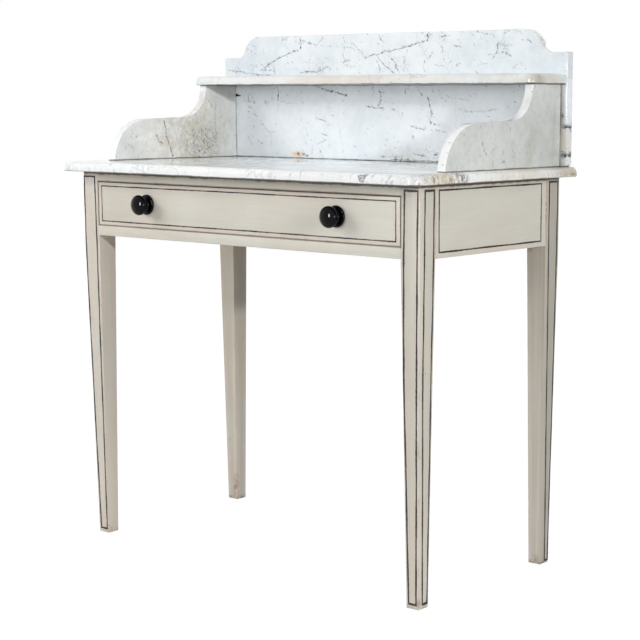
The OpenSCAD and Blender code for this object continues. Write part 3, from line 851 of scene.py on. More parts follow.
    def veins(self, graph: Graph, here: Socket) -> Socket:
        """Adds all the veins: a broken network, flecks and the placed strands.

        Args:
            graph: The material under construction.
            here: The piece's own pattern coordinates.

        Returns:
            The share of vein colour.
        """
        bend = self.shaken(graph, here, 9.0, 0.05)
        warped = graph.vector("ADD", graph.vector("ADD", here, bend), self.shaken(graph, here, 110.0, 0.009))
        web = graph.band(graph.cells(warped, 13.0), 0.022, 0.003)
        web_gate = graph.band(graph.noise(here, 6.0, 3.0, 0.6), 0.5, 0.66, self.network)
        web = graph.math("MULTIPLY", web, web_gate)
        small = graph.band(graph.cells(warped, 37.0), 0.05, 0.01)
        small_gate = graph.band(graph.noise(here, 13.0, 3.0), 0.56, 0.7, self.network * 0.7)
        small = graph.math("MULTIPLY", small, small_gate)
        broken = graph.band(graph.noise(here, 210.0, 2.0), 0.38, 0.6, 0.75)
        lines = graph.math("MULTIPLY", graph.math("MAXIMUM", web, small), graph.math("ADD", 0.25, broken))
        total = graph.math("MAXIMUM", lines, self.flecked(graph, graph.vector("ADD", here, bend)))
        if self.strands:
            placed = self.placed(graph, self.strands, here, self.vein_shake)
            total = graph.math("MAXIMUM", total, placed)
        return total

    def flecked(self, graph: Graph, here: Socket) -> Socket:
        """Adds short dark flecks that lie mostly one way.

        Args:
            graph: The material under construction.
            here: The piece's own pattern coordinates, a little bent.

        Returns:
            The share of vein colour.
        """
        long_way, short_way = self.fleck_size
        first, second = self.plane.value
        across = 3 - first - second
        turn = [0.0] * 3
        turn[across] = -self.fleck_turn if across == Along.Y.value else self.fleck_turn
        scale = [1 / long_way] * 3
        scale[second] = 1 / short_way
        turned = graph.stretch((1.0, 1.0, 1.0), turn, place=here)
        dots = graph.band(graph.cells(graph.stretch(scale, place=turned), 1.0, "F1"), 0.2, 0.1, self.flecks)
        return graph.math("MULTIPLY", dots, graph.band(graph.noise(here, 21.0, 3.0), 0.42, 0.6))

    @staticmethod
    def shaken(graph: Graph, place: Socket, scale: float, amount: float) -> Socket:
        """Makes an offset that wanders up to half of amount each way."""
        offset = graph.vector("SUBTRACT", graph.noise(place, scale, 3.0, 0.6, "Color"), (0.5, 0.5, 0.5))
        return graph.scaled(offset, amount)

    def placed(self, graph: Graph, strands: Sequence[Strand], here: Socket, shake: float) -> Socket:
        """Adds the strands that are set at known places.

        Args:
            graph: The material under construction.
            strands: The strands.
            here: The piece's own pattern coordinates.
            shake: How far a strand jumps from its smooth way.

        Returns:
            The share of vein colour.
        """
        wander = graph.vector("ADD", graph.place, self.shaken(graph, here, 230.0, shake * 1.3))
        wander = graph.vector("ADD", wander, self.shaken(graph, here, 34.0, shake * 0.9))
        flow = graph.math("ADD", 0.45, graph.band(graph.noise(here, 150.0, 3.0, 0.6), 0.38, 0.56, 0.85))
        swell = graph.math("ADD", 0.55, graph.band(graph.noise(here, 120.0, 3.0, 0.7), 0.5, 0.68, 1.9))
        axes = graph.add("ShaderNodeSeparateXYZ", {"Vector": wander}).outputs
        spray = graph.band(graph.noise(here, 420.0, 2.0, 0.6), 0.56, 0.68, 0.75)
        total = self.one_strand(graph, axes, strands[0], swell, spray)
        for strand in strands[1:]:
            total = graph.math("MAXIMUM", total, self.one_strand(graph, axes, strand, swell, spray))
        return graph.math("MULTIPLY", total, flow)

    def one_strand(self, graph: Graph, axes: Sequence[Socket], strand: Strand, swell: Socket,
                   spray: Socket) -> Socket:
        """Adds one strand, as a curve of its place across the face over its place along it.

        Args:
            graph: The material under construction.
            axes: The wandering coordinates, one socket an axis.
            strand: The strand.
            swell: How far the strand's width differs from its own, as a factor.
            spray: The small marks that lie about a strand.

        Returns:
            Its strength at each place.
        """
        run, across = (1, 0) if strand.upright else (0, 1)
        points = sorted((point[run] * MM, point[across] * MM) for point in strand.path)
        start, end = points[0][0], points[-1][0]
        low, high = min(point[1] for point in points) - MM, max(point[1] for point in points) + MM
        way = graph.add("ShaderNodeMapRange", {0: axes[self.plane.value[run]], 1: start, 2: end}).outputs[0]
        curve = graph.add("ShaderNodeFloatCurve", {"Value": way})
        dots = curve.mapping.curves[0].points
        for number, (place, value) in enumerate(points):
            spot = ((place - start) / (end - start), (value - low) / (high - low))
            if number in (0, len(points) - 1):
                dots[0 if number == 0 else len(dots) - 1].location = spot
            else:
                dots.new(*spot)
        curve.mapping.update()
        middle = graph.math("MULTIPLY_ADD", curve.outputs[0], high - low, low)
        away = graph.math("ABSOLUTE", graph.math("SUBTRACT", axes[self.plane.value[across]], middle))
        length = sum(math.hypot(b[0] - a[0], b[1] - a[1]) for a, b in zip(points, points[1:]))
        lean = (end - start) / length
        apart = graph.math("DIVIDE", graph.math("MULTIPLY", away, 1.6 * lean / (strand.width * MM)), swell)
        line = graph.math("SUBTRACT", 1.4, apart)
        line.node.use_clamp = True
        close = graph.math("MULTIPLY_ADD", apart, -0.17, 1.0)
        close.node.use_clamp = True
        line = graph.math("MAXIMUM", line, graph.math("MULTIPLY", close, spray))
        ends = graph.band(graph.math("PINGPONG", way, 0.5), 0.0, min(0.25, 5 * MM / length),
                          min(1.0, strand.strength * 1.2))
        return graph.math("MULTIPLY", line, ends)


@dataclass(frozen=True)
class BrokenMarble:
    """The rough grey face that a chip leaves."""

    name: str = "marble_chipped"
    dull: Colour = srgb(204, 199, 190)
    fresh: Colour = srgb(231, 229, 224)

    def material(self) -> bpy.types.Material:
        """Builds the chipped face."""
        graph = Graph(self.name)
        grains = graph.noise(graph.place, 300.0, 3.0, 0.6)
        colour = graph.mix(graph.band(grains, 0.35, 0.65), self.dull, self.fresh)
        return graph.surface(colour, 0.7, graph.bump(grains, 0.4 * MM))


@dataclass
class TimberFrame:
    """The painted legs, rails and aprons, with eased arrises and worn feet."""

    sizes: TimberSizes
    arris: float = 0.9 * MM
    foot_arris: float = 1.8 * MM
    leg_strip: float = 9.5 * MM
    apron_strip: float = 9 * MM
    strip_edge: float = 1.5 * MM
    leg_blush: float = 0.6
    board_blush: float = 0.8
    near: float = 0.2 * MM
    long_edge: float = 100 * MM

    WOOD = srgb(150, 108, 74)
    SOOT = srgb(84, 72, 58)
    # Darker paint on these legs is painted shade: the back legs and the front right leg read darker.
    TINTS_WITH_PAINTED_SHADE = {
        "leg_back_right": (srgb(196, 192, 181), srgb(195, 189, 177)),
        "leg_back_left": (srgb(202, 199, 188), srgb(201, 194, 181)),
        "leg_front_right": (srgb(209, 205, 193), srgb(209, 202, 190)),
    }
    # Marks on each piece: wear, scuffs, specks and dark joints, and on some legs painted light or painted
    # shade, as noted.
    MARKS_AND_PAINTED_LIGHT = {
        "leg_back_left": (
            # Painted shadow: the upper part of this leg is darkened, in place of the shadow under the aprons.
            StainOrPaintedLight((-390, 180, 560), 480, srgb(150, 142, 126), 0.56, 6.0, sparse=-0.35),
            StainOrPaintedLight((-389, 179, 30), 24, WOOD, 0.9, 90.0, squash=(2.2, 2.2, 0.6)),
            StainOrPaintedLight((-403, 177, 131), 4, WOOD, 0.7, 20.0, squash=(1.0, 1.0, 0.5))),
        "leg_front_left": (
            # Painted light: this leg is lightened towards its foot.
            StainOrPaintedLight((-400, -190, 0), 330, srgb(240, 227, 211), 0.5, 5.0, sparse=-0.35),
            # Painted shade on this leg's inner face.
            StainOrPaintedLight((-372, 0, 0), 16, srgb(150, 138, 124), 0.36, 5.0, squash=(1.0, 0.0, 0.0), sparse=-0.35),
            StainOrPaintedLight((-381, -190, 648), 3, WOOD, 0.8, 20.0),
            StainOrPaintedLight((-383, -163, 422), 2.4, SOOT, 0.7, 20.0),
            StainOrPaintedLight((-385, -156, 87), 2.4, SOOT, 0.7, 20.0),
            StainOrPaintedLight((-388, -180, 12), 14, WOOD, 0.6, 110.0)),
        "leg_front_right": (
            # Painted light: this leg is lightened towards its foot.
            StainOrPaintedLight((400, -190, 0), 330, srgb(240, 229, 214), 0.45, 5.0, sparse=-0.35),
            StainOrPaintedLight((416, -172, 407), 2.4, SOOT, 0.8, 20.0),
            StainOrPaintedLight((413, -167, 118), 2.4, SOOT, 0.8, 20.0),
            StainOrPaintedLight((411, -182, 12), 14, WOOD, 0.6, 110.0)),
        "leg_back_right": (
            # Painted shade on this leg's outer side face.
            StainOrPaintedLight((419, 0, 0), 18, srgb(146, 142, 130), 0.45, 5.0, squash=(1.0, 0.0, 0.0), sparse=-0.35),
            StainOrPaintedLight((379, 171, 588), 20, srgb(150, 126, 98), 0.8, 70.0, squash=(1.0, 1.0, 3.0)),
            StainOrPaintedLight((419, 171, 660), 3.4, WOOD, 0.8, 120.0, squash=(1.0, 1.0, 0.04)),
            StainOrPaintedLight((419, 170, 610), 4.5, SOOT, 0.8, 90.0, squash=(1.0, 1.0, 0.6)),
            StainOrPaintedLight((402, 182, 10), 14, WOOD, 0.6, 110.0)),
        "side_apron_right": (
            StainOrPaintedLight((419, 171, 660), 3.4, WOOD, 0.9, 120.0, squash=(1.0, 1.0, 0.04)),),
    }

    def __post_init__(self) -> None:
        """Works out the centre and half size of the drawer's opening."""
        inner = self.sizes.leg_low.x
        low, high = self.sizes.bottom_rail_high.z, self.sizes.top_rail_low.z
        self.opening = ((0.0, (low + high) / 2), (inner, (high - low) / 2))

    def leg_margin(self, side: int, back: bool) -> Callable[[Graph], Socket]:
        """Prepares the tint of the strip between a leg's arris and its lining.

        Args:
            side: 1 on the right and -1 on the left.
            back: Whether it is a back leg.

        Returns:
            A function that adds the tint's nodes to a material.
        """
        middle = self.sizes.leg_middle(side, back)
        slope = (self.sizes.leg - self.sizes.foot) / 2 / self.sizes.taper_start

        def tint(graph: Graph) -> Socket:
            """Adds the nodes, and returns 1 in the strip and 0 in the field."""
            below = graph.math("SUBTRACT", self.sizes.taper_start, graph.axes[2])
            below = graph.math("MAXIMUM", below, 0.0)
            half = graph.math("SUBTRACT", self.sizes.leg / 2, graph.math("MULTIPLY", below, slope))
            reach = []
            for axis in (0, 1):
                offset = graph.math("ABSOLUTE", graph.math("SUBTRACT", graph.axes[axis], middle[axis]))
                reach.append(graph.math("SUBTRACT", half, offset))
            inside = graph.math("MAXIMUM", reach[0], reach[1])
            return graph.band(inside, self.leg_strip, self.leg_strip - self.strip_edge, self.leg_blush)

        return tint

    def panel_margin(self, plane: Plane, low: Vector, high: Vector,
                     width: float) -> Callable[[Graph], Socket]:
        """Prepares the tint of the strip between a board's edge and its lining.

        Args:
            plane: The board's face.
            low: The board's lowest corner.
            high: The board's highest corner.
            width: The width of the strip.

        Returns:
            A function that adds the tint's nodes to a material.
        """
        centre = [(low[axis] + high[axis]) / 2 for axis in plane.value]
        half = [(high[axis] - low[axis]) / 2 for axis in plane.value]

        def tint(graph: Graph) -> Socket:
            """Adds the nodes, and returns 1 in the strip and 0 in the field."""
            inside = graph.edge_distance(plane, centre, half)
            return graph.band(inside, width, width - self.strip_edge, self.board_blush)

        return tint

    def leg(self, side: int, back: bool) -> None:
        """Eases and paints one leg.

        Args:
            side: 1 on the right and -1 on the left.
            back: Whether it is a back leg.
        """
        name = f"leg_{'back' if back else 'front'}_{'right' if side > 0 else 'left'}"
        piece = Bench.copy_node(name, f"painted_{name}")
        middle = self.sizes.leg_middle(side, back)
        opening = None if back else self.opening
        marks = self.MARKS_AND_PAINTED_LIGHT.get(name, ())
        cool, warm = self.TINTS_WITH_PAINTED_SHADE.get(name, (PaintedTimber.cool, PaintedTimber.warm))
        paint = PaintedTimber(f"paint_{name}", Along.Z, self.leg_margin(side, back), opening, False, marks,
                              cool=cool, warm=warm)
        rubbed = replace(paint, name=f"paint_{name}_arris", margin=None, rubbed=True)
        Bench.dress(piece, paint.material(), rubbed.material())

        def corner(point: Vector) -> bool:
            """Tells whether a point lies on one of the leg's long arrises."""
            half = self.sizes.leg / 2 - self.sizes.inset(point.z)
            return all(abs(abs(point[axis] - middle[axis]) - half) < self.near for axis in (0, 1))

        def long_arris(first: Vector, last: Vector) -> bool:
            """Picks the four long arrises."""
            return corner(first) and corner(last) and abs(first.z - last.z) > MM

        def foot_arris(first: Vector, last: Vector) -> bool:
            """Picks the edges round the foot's end."""
            return max(first.z, last.z) < self.near

        Bench.ease(piece, self.arris, long_arris)
        Bench.ease(piece, self.foot_arris, foot_arris)
        Bench.smooth(piece)
        Bench.hand_over(piece, "stand", "painted_timber")

    def board(self, node: str, grain: Along, where: Callable[[Vector, Vector], bool],
              margin: Optional[Callable[[Graph], Socket]] = None, faces_opening: bool = False) -> None:
        """Eases and paints one rail or apron.

        Args:
            node: The frame's node.
            grain: The direction of its grain.
            where: Tells which sharp edges are eased.
            margin: The tint of the strip round its lining.
            faces_opening: Whether it is rubbed along the drawer's opening.
        """
        piece = Bench.copy_node(node, f"painted_{node}")
        opening = self.opening if faces_opening else None
        marks = self.MARKS_AND_PAINTED_LIGHT.get(node, ())
        paint = PaintedTimber(f"paint_{node}", grain, margin, opening, False, marks)
        rubbed = replace(paint, name=f"paint_{node}_arris", margin=None, rubbed=True)
        Bench.dress(piece, paint.material(), rubbed.material())
        Bench.ease(piece, self.arris, where)
        Bench.smooth(piece)
        Bench.hand_over(piece, "stand", "painted_timber")

    def build(self) -> None:
        """Makes all the painted pieces of the stand."""
        for back in (False, True):
            for side in (-1, 1):
                self.leg(side, back)
        face = self.sizes.leg_low.y

        def on_front(first: Vector, last: Vector) -> bool:
            """Picks the long edges of a rail's front face."""
            return max(first.y, last.y) < face + self.near and abs(first.x - last.x) > self.long_edge

        for node in ("front_top_rail", "front_bottom_rail"):
            self.board(node, Along.X, on_front, faces_opening=True)
        for side in (-1, 1):
            node = f"side_apron_{'right' if side > 0 else 'left'}"
            low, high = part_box(node)
            outer = high.x if side > 0 else low.x
            legs_inner = Vector((low.x, self.sizes.leg_high.y, low.z))
            back_inner = Vector((high.x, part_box("leg_back_right")[0].y, high.z))

            def on_outside(first: Vector, last: Vector) -> bool:
                """Picks the long edges of an apron's outer face."""
                outside = all(abs(point.x - outer) < self.near for point in (first, last))
                return outside and abs(first.y - last.y) > self.long_edge

            margin = self.panel_margin(Plane.SIDE, legs_inner, back_inner, self.apron_strip)
            self.board(node, Along.Y, on_outside, margin)
        outer_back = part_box("back_apron")[1].y

        def on_back(first: Vector, last: Vector) -> bool:
            """Picks the long edges of the back apron's outer face."""
            return min(first.y, last.y) > outer_back - self.near and abs(first.x - last.x) > self.long_edge

        self.board("back_apron", Along.X, on_back)


@dataclass
class Drawer:
    """The drawer: a painted front with worn edges, black knobs and a bare pine box."""

    stand: TimberFrame
    arris: float = 1.1 * MM
    strip: float = 10 * MM
    near: float = 0.1 * MM
    shortest_side: float = 40 * MM

    BARE = {
        "drawer_side_left": Along.Y, "drawer_side_right": Along.Y, "drawer_back": Along.X,
        "drawer_bottom": Along.X, "drawer_slip_left": Along.Y, "drawer_slip_right": Along.Y,
    }

    def build(self) -> None:
        """Makes the drawer's front and dresses its other pieces."""
        low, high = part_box("drawer_front")
        piece = Bench.copy_node("drawer_front", "painted_drawer_front")
        margin = self.stand.panel_margin(Plane.FRONT, low, high, self.strip)
        paint = PaintedTimber("paint_drawer_front", Along.X, margin, self.stand.opening)
        rubbed = replace(paint, name="paint_drawer_front_arris", margin=None, rubbed=True)
        Bench.dress(piece, paint.material(), rubbed.material())

        def round_face(first: Vector, last: Vector) -> bool:
            """Picks the four edges of the drawer's face."""
            on_face = max(first.y, last.y) < low.y + self.near
            return on_face and (first - last).length > self.shortest_side

        Bench.ease(piece, self.arris, round_face)
        Bench.smooth(piece)
        Bench.hand_over(piece, "drawer", "painted_timber")
        for node, grain in self.BARE.items():
            Bench.dress(frame["nodes"][node], BarePine(f"pine_{node}", grain).material())
        black = EbonisedWood().material()
        for node in ("knob_left", "knob_right"):
            Bench.dress(frame["nodes"][node], black)
        LOG.info("dressed the drawer's box and knobs")


class RunningGear:
    """The bare pine runners, kickers, guides and stops, and the iron nails and dowels."""

    ALONG_Y = ("drawer_runner", "drawer_kicker", "drawer_guide")
    IRON = ("drawer_bottom_nails", "splashback_dowels", "bracket_dowels", "shelf_dowels")

    def build(self) -> None:
        """Dresses the pieces."""
        wood = BarePine("pine_running_gear", Along.Y).material()
        for stem in self.ALONG_Y:
            for side in ("left", "right"):
                Bench.dress(frame["nodes"][f"{stem}_{side}"], wood)
        Bench.dress(frame["nodes"]["drawer_stops"], BarePine("pine_stops", Along.X).material())
        iron = OldIron().material()
        for node in self.IRON:
            Bench.dress(frame["nodes"][node], iron)
        LOG.info("dressed the running gear, nails and dowels")


@dataclass(frozen=True)
class LegLines:
    """Where the lining runs on a leg's face, in millimetres.

    Each station is a height, from the top down, and the line's places to the left and right of the middle.
    """

    stations: tuple[tuple[float, float, float], ...]


@dataclass(frozen=True)
class Ring:
    """A closed line of lining round a face: its corners, the face's outward direction and its body.

    The bottom bar is the width of its lowest line, as a factor.
    """

    name: str
    corners: tuple[Vector, ...]
    outward: Vector
    body: str
    width: float
    bottom_bar: float = 1.0


@dataclass
class Lining:
    """The hand-painted black lining on the legs, the drawer and the aprons."""

    sizes: TimberSizes
    leg_width: float = 3.4 * MM
    apron_width: float = 2.8 * MM
    drawer_width: float = 2.2 * MM
    apron_low: tuple[float, float] = (-139.5 * MM, 607 * MM)
    apron_high: tuple[float, float] = (155.6 * MM, 709.5 * MM)
    drawer_low: tuple[float, float] = (-367.5 * MM, 625.2 * MM)
    drawer_high: tuple[float, float] = (367.5 * MM, 692 * MM)
    step: float = 4.0 * MM
    proud: float = 0.12 * MM
    sink: float = 0.2 * MM
    wobble: float = 0.42 * MM
    drift: float = 0.22 * MM
    drift_pace: float = 9.0
    swell: float = 0.16
    swell_pace: float = 0.23
    hand: random.Random = field(default_factory=lambda: random.Random(1905))

    FOOT_BAR = 1.3
    FRONT_RIGHT = LegLines(((710, -11.9, 16.0), (586, -14.0, 14.6), (400, -15.3, 12.0), (8.5, -8.0, 8.1)))
    FRONT_LEFT = LegLines(((709, -18.8, 11.7), (586, -18.9, 13.4), (420, -16.4, 12.0), (8.5, -7.4, 10.2)))
    FRONT_SIDE = LegLines(((710, -7.1, 16.8), (586, -8.6, 15.3), (400, -9.0, 12.8), (8.5, -2.5, 10.4)))
    BACK_SIDE = LegLines(((711.5, -10.9, 15.6), (586, -10.9, 14.8), (5.5, 1.8, 11.6)))

    def __post_init__(self) -> None:
        """Mixes the black paint."""
        self.paint = LiningPaint().material()

    def leg_ring(self, side: int, back: bool, on_side: bool) -> Ring:
        """Places the lining of one leg face, which follows the leg's taper.

        Args:
            side: 1 on the right and -1 on the left.
            back: Whether it is a back leg.
            on_side: Whether it is the outer side face and not the front face.

        Returns:
            The ring.
        """
        sizes = self.sizes
        middle = sizes.leg_middle(side, back)
        if on_side:
            lines = self.BACK_SIDE if back else self.FRONT_SIDE
        else:
            lines = self.FRONT_RIGHT if side > 0 else self.FRONT_LEFT
        down = [(right, height) for height, left, right in lines.stations]
        up = [(left, height) for height, left, right in reversed(lines.stations)]
        corners = []
        for across, height in down + up:
            z = height * MM
            face = sizes.leg / 2 - sizes.inset(z)
            if on_side:
                corners.append(Vector((middle[0] + side * face, middle[1] + across * MM, z)))
            else:
                corners.append(Vector((middle[0] + across * MM, middle[1] - face, z)))
        name = f"lining_leg_{'back' if back else 'front'}_{'right' if side > 0 else 'left'}"
        outward = Vector((side, 0, 0)) if on_side else Vector((0, -1, 0))
        return Ring(name + ("_side" if on_side else "_front"), tuple(corners), outward, "stand",
                    self.leg_width, self.FOOT_BAR)

    def panel_ring(self, name: str, plane: Plane, depth: float, low: Sequence[float], high: Sequence[float],
                   outward: Vector, body: str, width: float) -> Ring:
        """Places a rectangle of lining on a flat face.

        Args:
            name: The ring's name.
            plane: The face's two axes.
            depth: The face's place on the third axis.
            low: The rectangle's lowest corner on the face.
            high: The rectangle's highest corner on the face.
            outward: The face's outward direction.
            body: The body that it is on.
            width: The line's width.

        Returns:
            The ring.
        """
        corners = []
        for u, v in ((low[0], high[1]), (high[0], high[1]), (high[0], low[1]), (low[0], low[1])):
            point = Vector((depth, depth, depth))
            point[plane.value[0]] = u
            point[plane.value[1]] = v
            corners.append(point)
        return Ring(name, tuple(corners), outward, body, width)

    def brush(self, ring: Ring) -> None:
        """Paints one ring: a closed strip of small faces with an unsteady edge.

        Args:
            ring: The ring.
        """
        points, widths, sides = self.path(ring)
        count = len(points)
        bpy.ops.object.select_all(action="DESELECT")
        bpy.ops.mesh.primitive_grid_add(x_subdivisions=count, y_subdivisions=1, size=1.0)
        strip = bpy.context.object
        strip.name = ring.name
        strip.data.name = ring.name
        for vertex in strip.data.vertices:
            number = round((vertex.co.x + 0.5) * count) % count
            edge = 1.0 if vertex.co.y > 0 else -1.0
            ragged = 1.0 + self.hand.uniform(-1.0, 1.0) * self.wobble / ring.width
            offset = sides[number] * (edge * widths[number] * ragged / 2)
            vertex.co = points[number] + offset + ring.outward * self.proud
        with Bench.editing(strip, Pick.FACES):
            bpy.ops.mesh.select_all(action="SELECT")
            bpy.ops.mesh.remove_doubles(threshold=Bench.WELD)
            bpy.ops.mesh.normals_make_consistent(inside=False)
        if strip.data.polygons[0].normal.dot(ring.outward) < 0:
            strip.data.flip_normals()
        body = strip.modifiers.new("body", "SOLIDIFY")
        body.thickness = self.proud + self.sink
        body.offset = -1.0
        Bench.take(strip)
        bpy.ops.object.modifier_apply(modifier=body.name)
        Bench.dress(strip, self.paint)
        Bench.hand_over(strip, ring.body, "ebonised_wood")

    def path(self, ring: Ring) -> tuple[list[Vector], list[float], list[Vector]]:
        """Walks round a ring in small steps.

        Args:
            ring: The ring.

        Returns:
            The points, the line's width at each, and the direction across the line at each.
        """
        points: list[Vector] = []
        widths: list[float] = []
        sides: list[Vector] = []
        corners = ring.corners
        lowest = min(corner.z for corner in corners)
        across = []
        for number, corner in enumerate(corners):
            way = (corners[(number + 1) % len(corners)] - corner).normalized()
            across.append(way.cross(ring.outward).normalized())
        for number, corner in enumerate(corners):
            following = corners[(number + 1) % len(corners)]
            mitre = across[number - 1] + across[number]
            mitre = mitre / mitre.dot(across[number])
            steps = max(2, round((following - corner).length / self.step))
            bar = ring.bottom_bar if max(corner.z, following.z) < lowest + MM else 1.0
            phase = self.hand.uniform(0, math.tau)
            for step in range(steps):
                share = step / steps
                bow = math.sin(share * math.pi) * math.sin(phase + share * self.drift_pace) * self.drift
                points.append(corner.lerp(following, share) + across[number] * bow)
                swell = 1.0 + self.swell * math.sin(phase * 2 + share * steps * self.swell_pace)
                widths.append(ring.width * swell * bar)
                sides.append(mitre if step == 0 else across[number])
        return points, widths, sides

    def build(self) -> None:
        """Paints all the rings."""
        rings = []
        for side in (-1, 1):
            rings.append(self.leg_ring(side, False, False))
            rings.append(self.leg_ring(side, False, True))
            rings.append(self.leg_ring(side, True, True))
            outer = side * self.sizes.leg_high.x
            name = f"lining_apron_{'right' if side > 0 else 'left'}"
            rings.append(self.panel_ring(name, Plane.SIDE, outer, self.apron_low, self.apron_high,
                                         Vector((side, 0, 0)), "stand", self.apron_width))
        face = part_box("drawer_front")[0].y
        rings.append(self.panel_ring("lining_drawer", Plane.FRONT, face, self.drawer_low, self.drawer_high,
                                     Vector((0, -1, 0)), "drawer", self.drawer_width))
        for ring in rings:
            self.brush(ring)


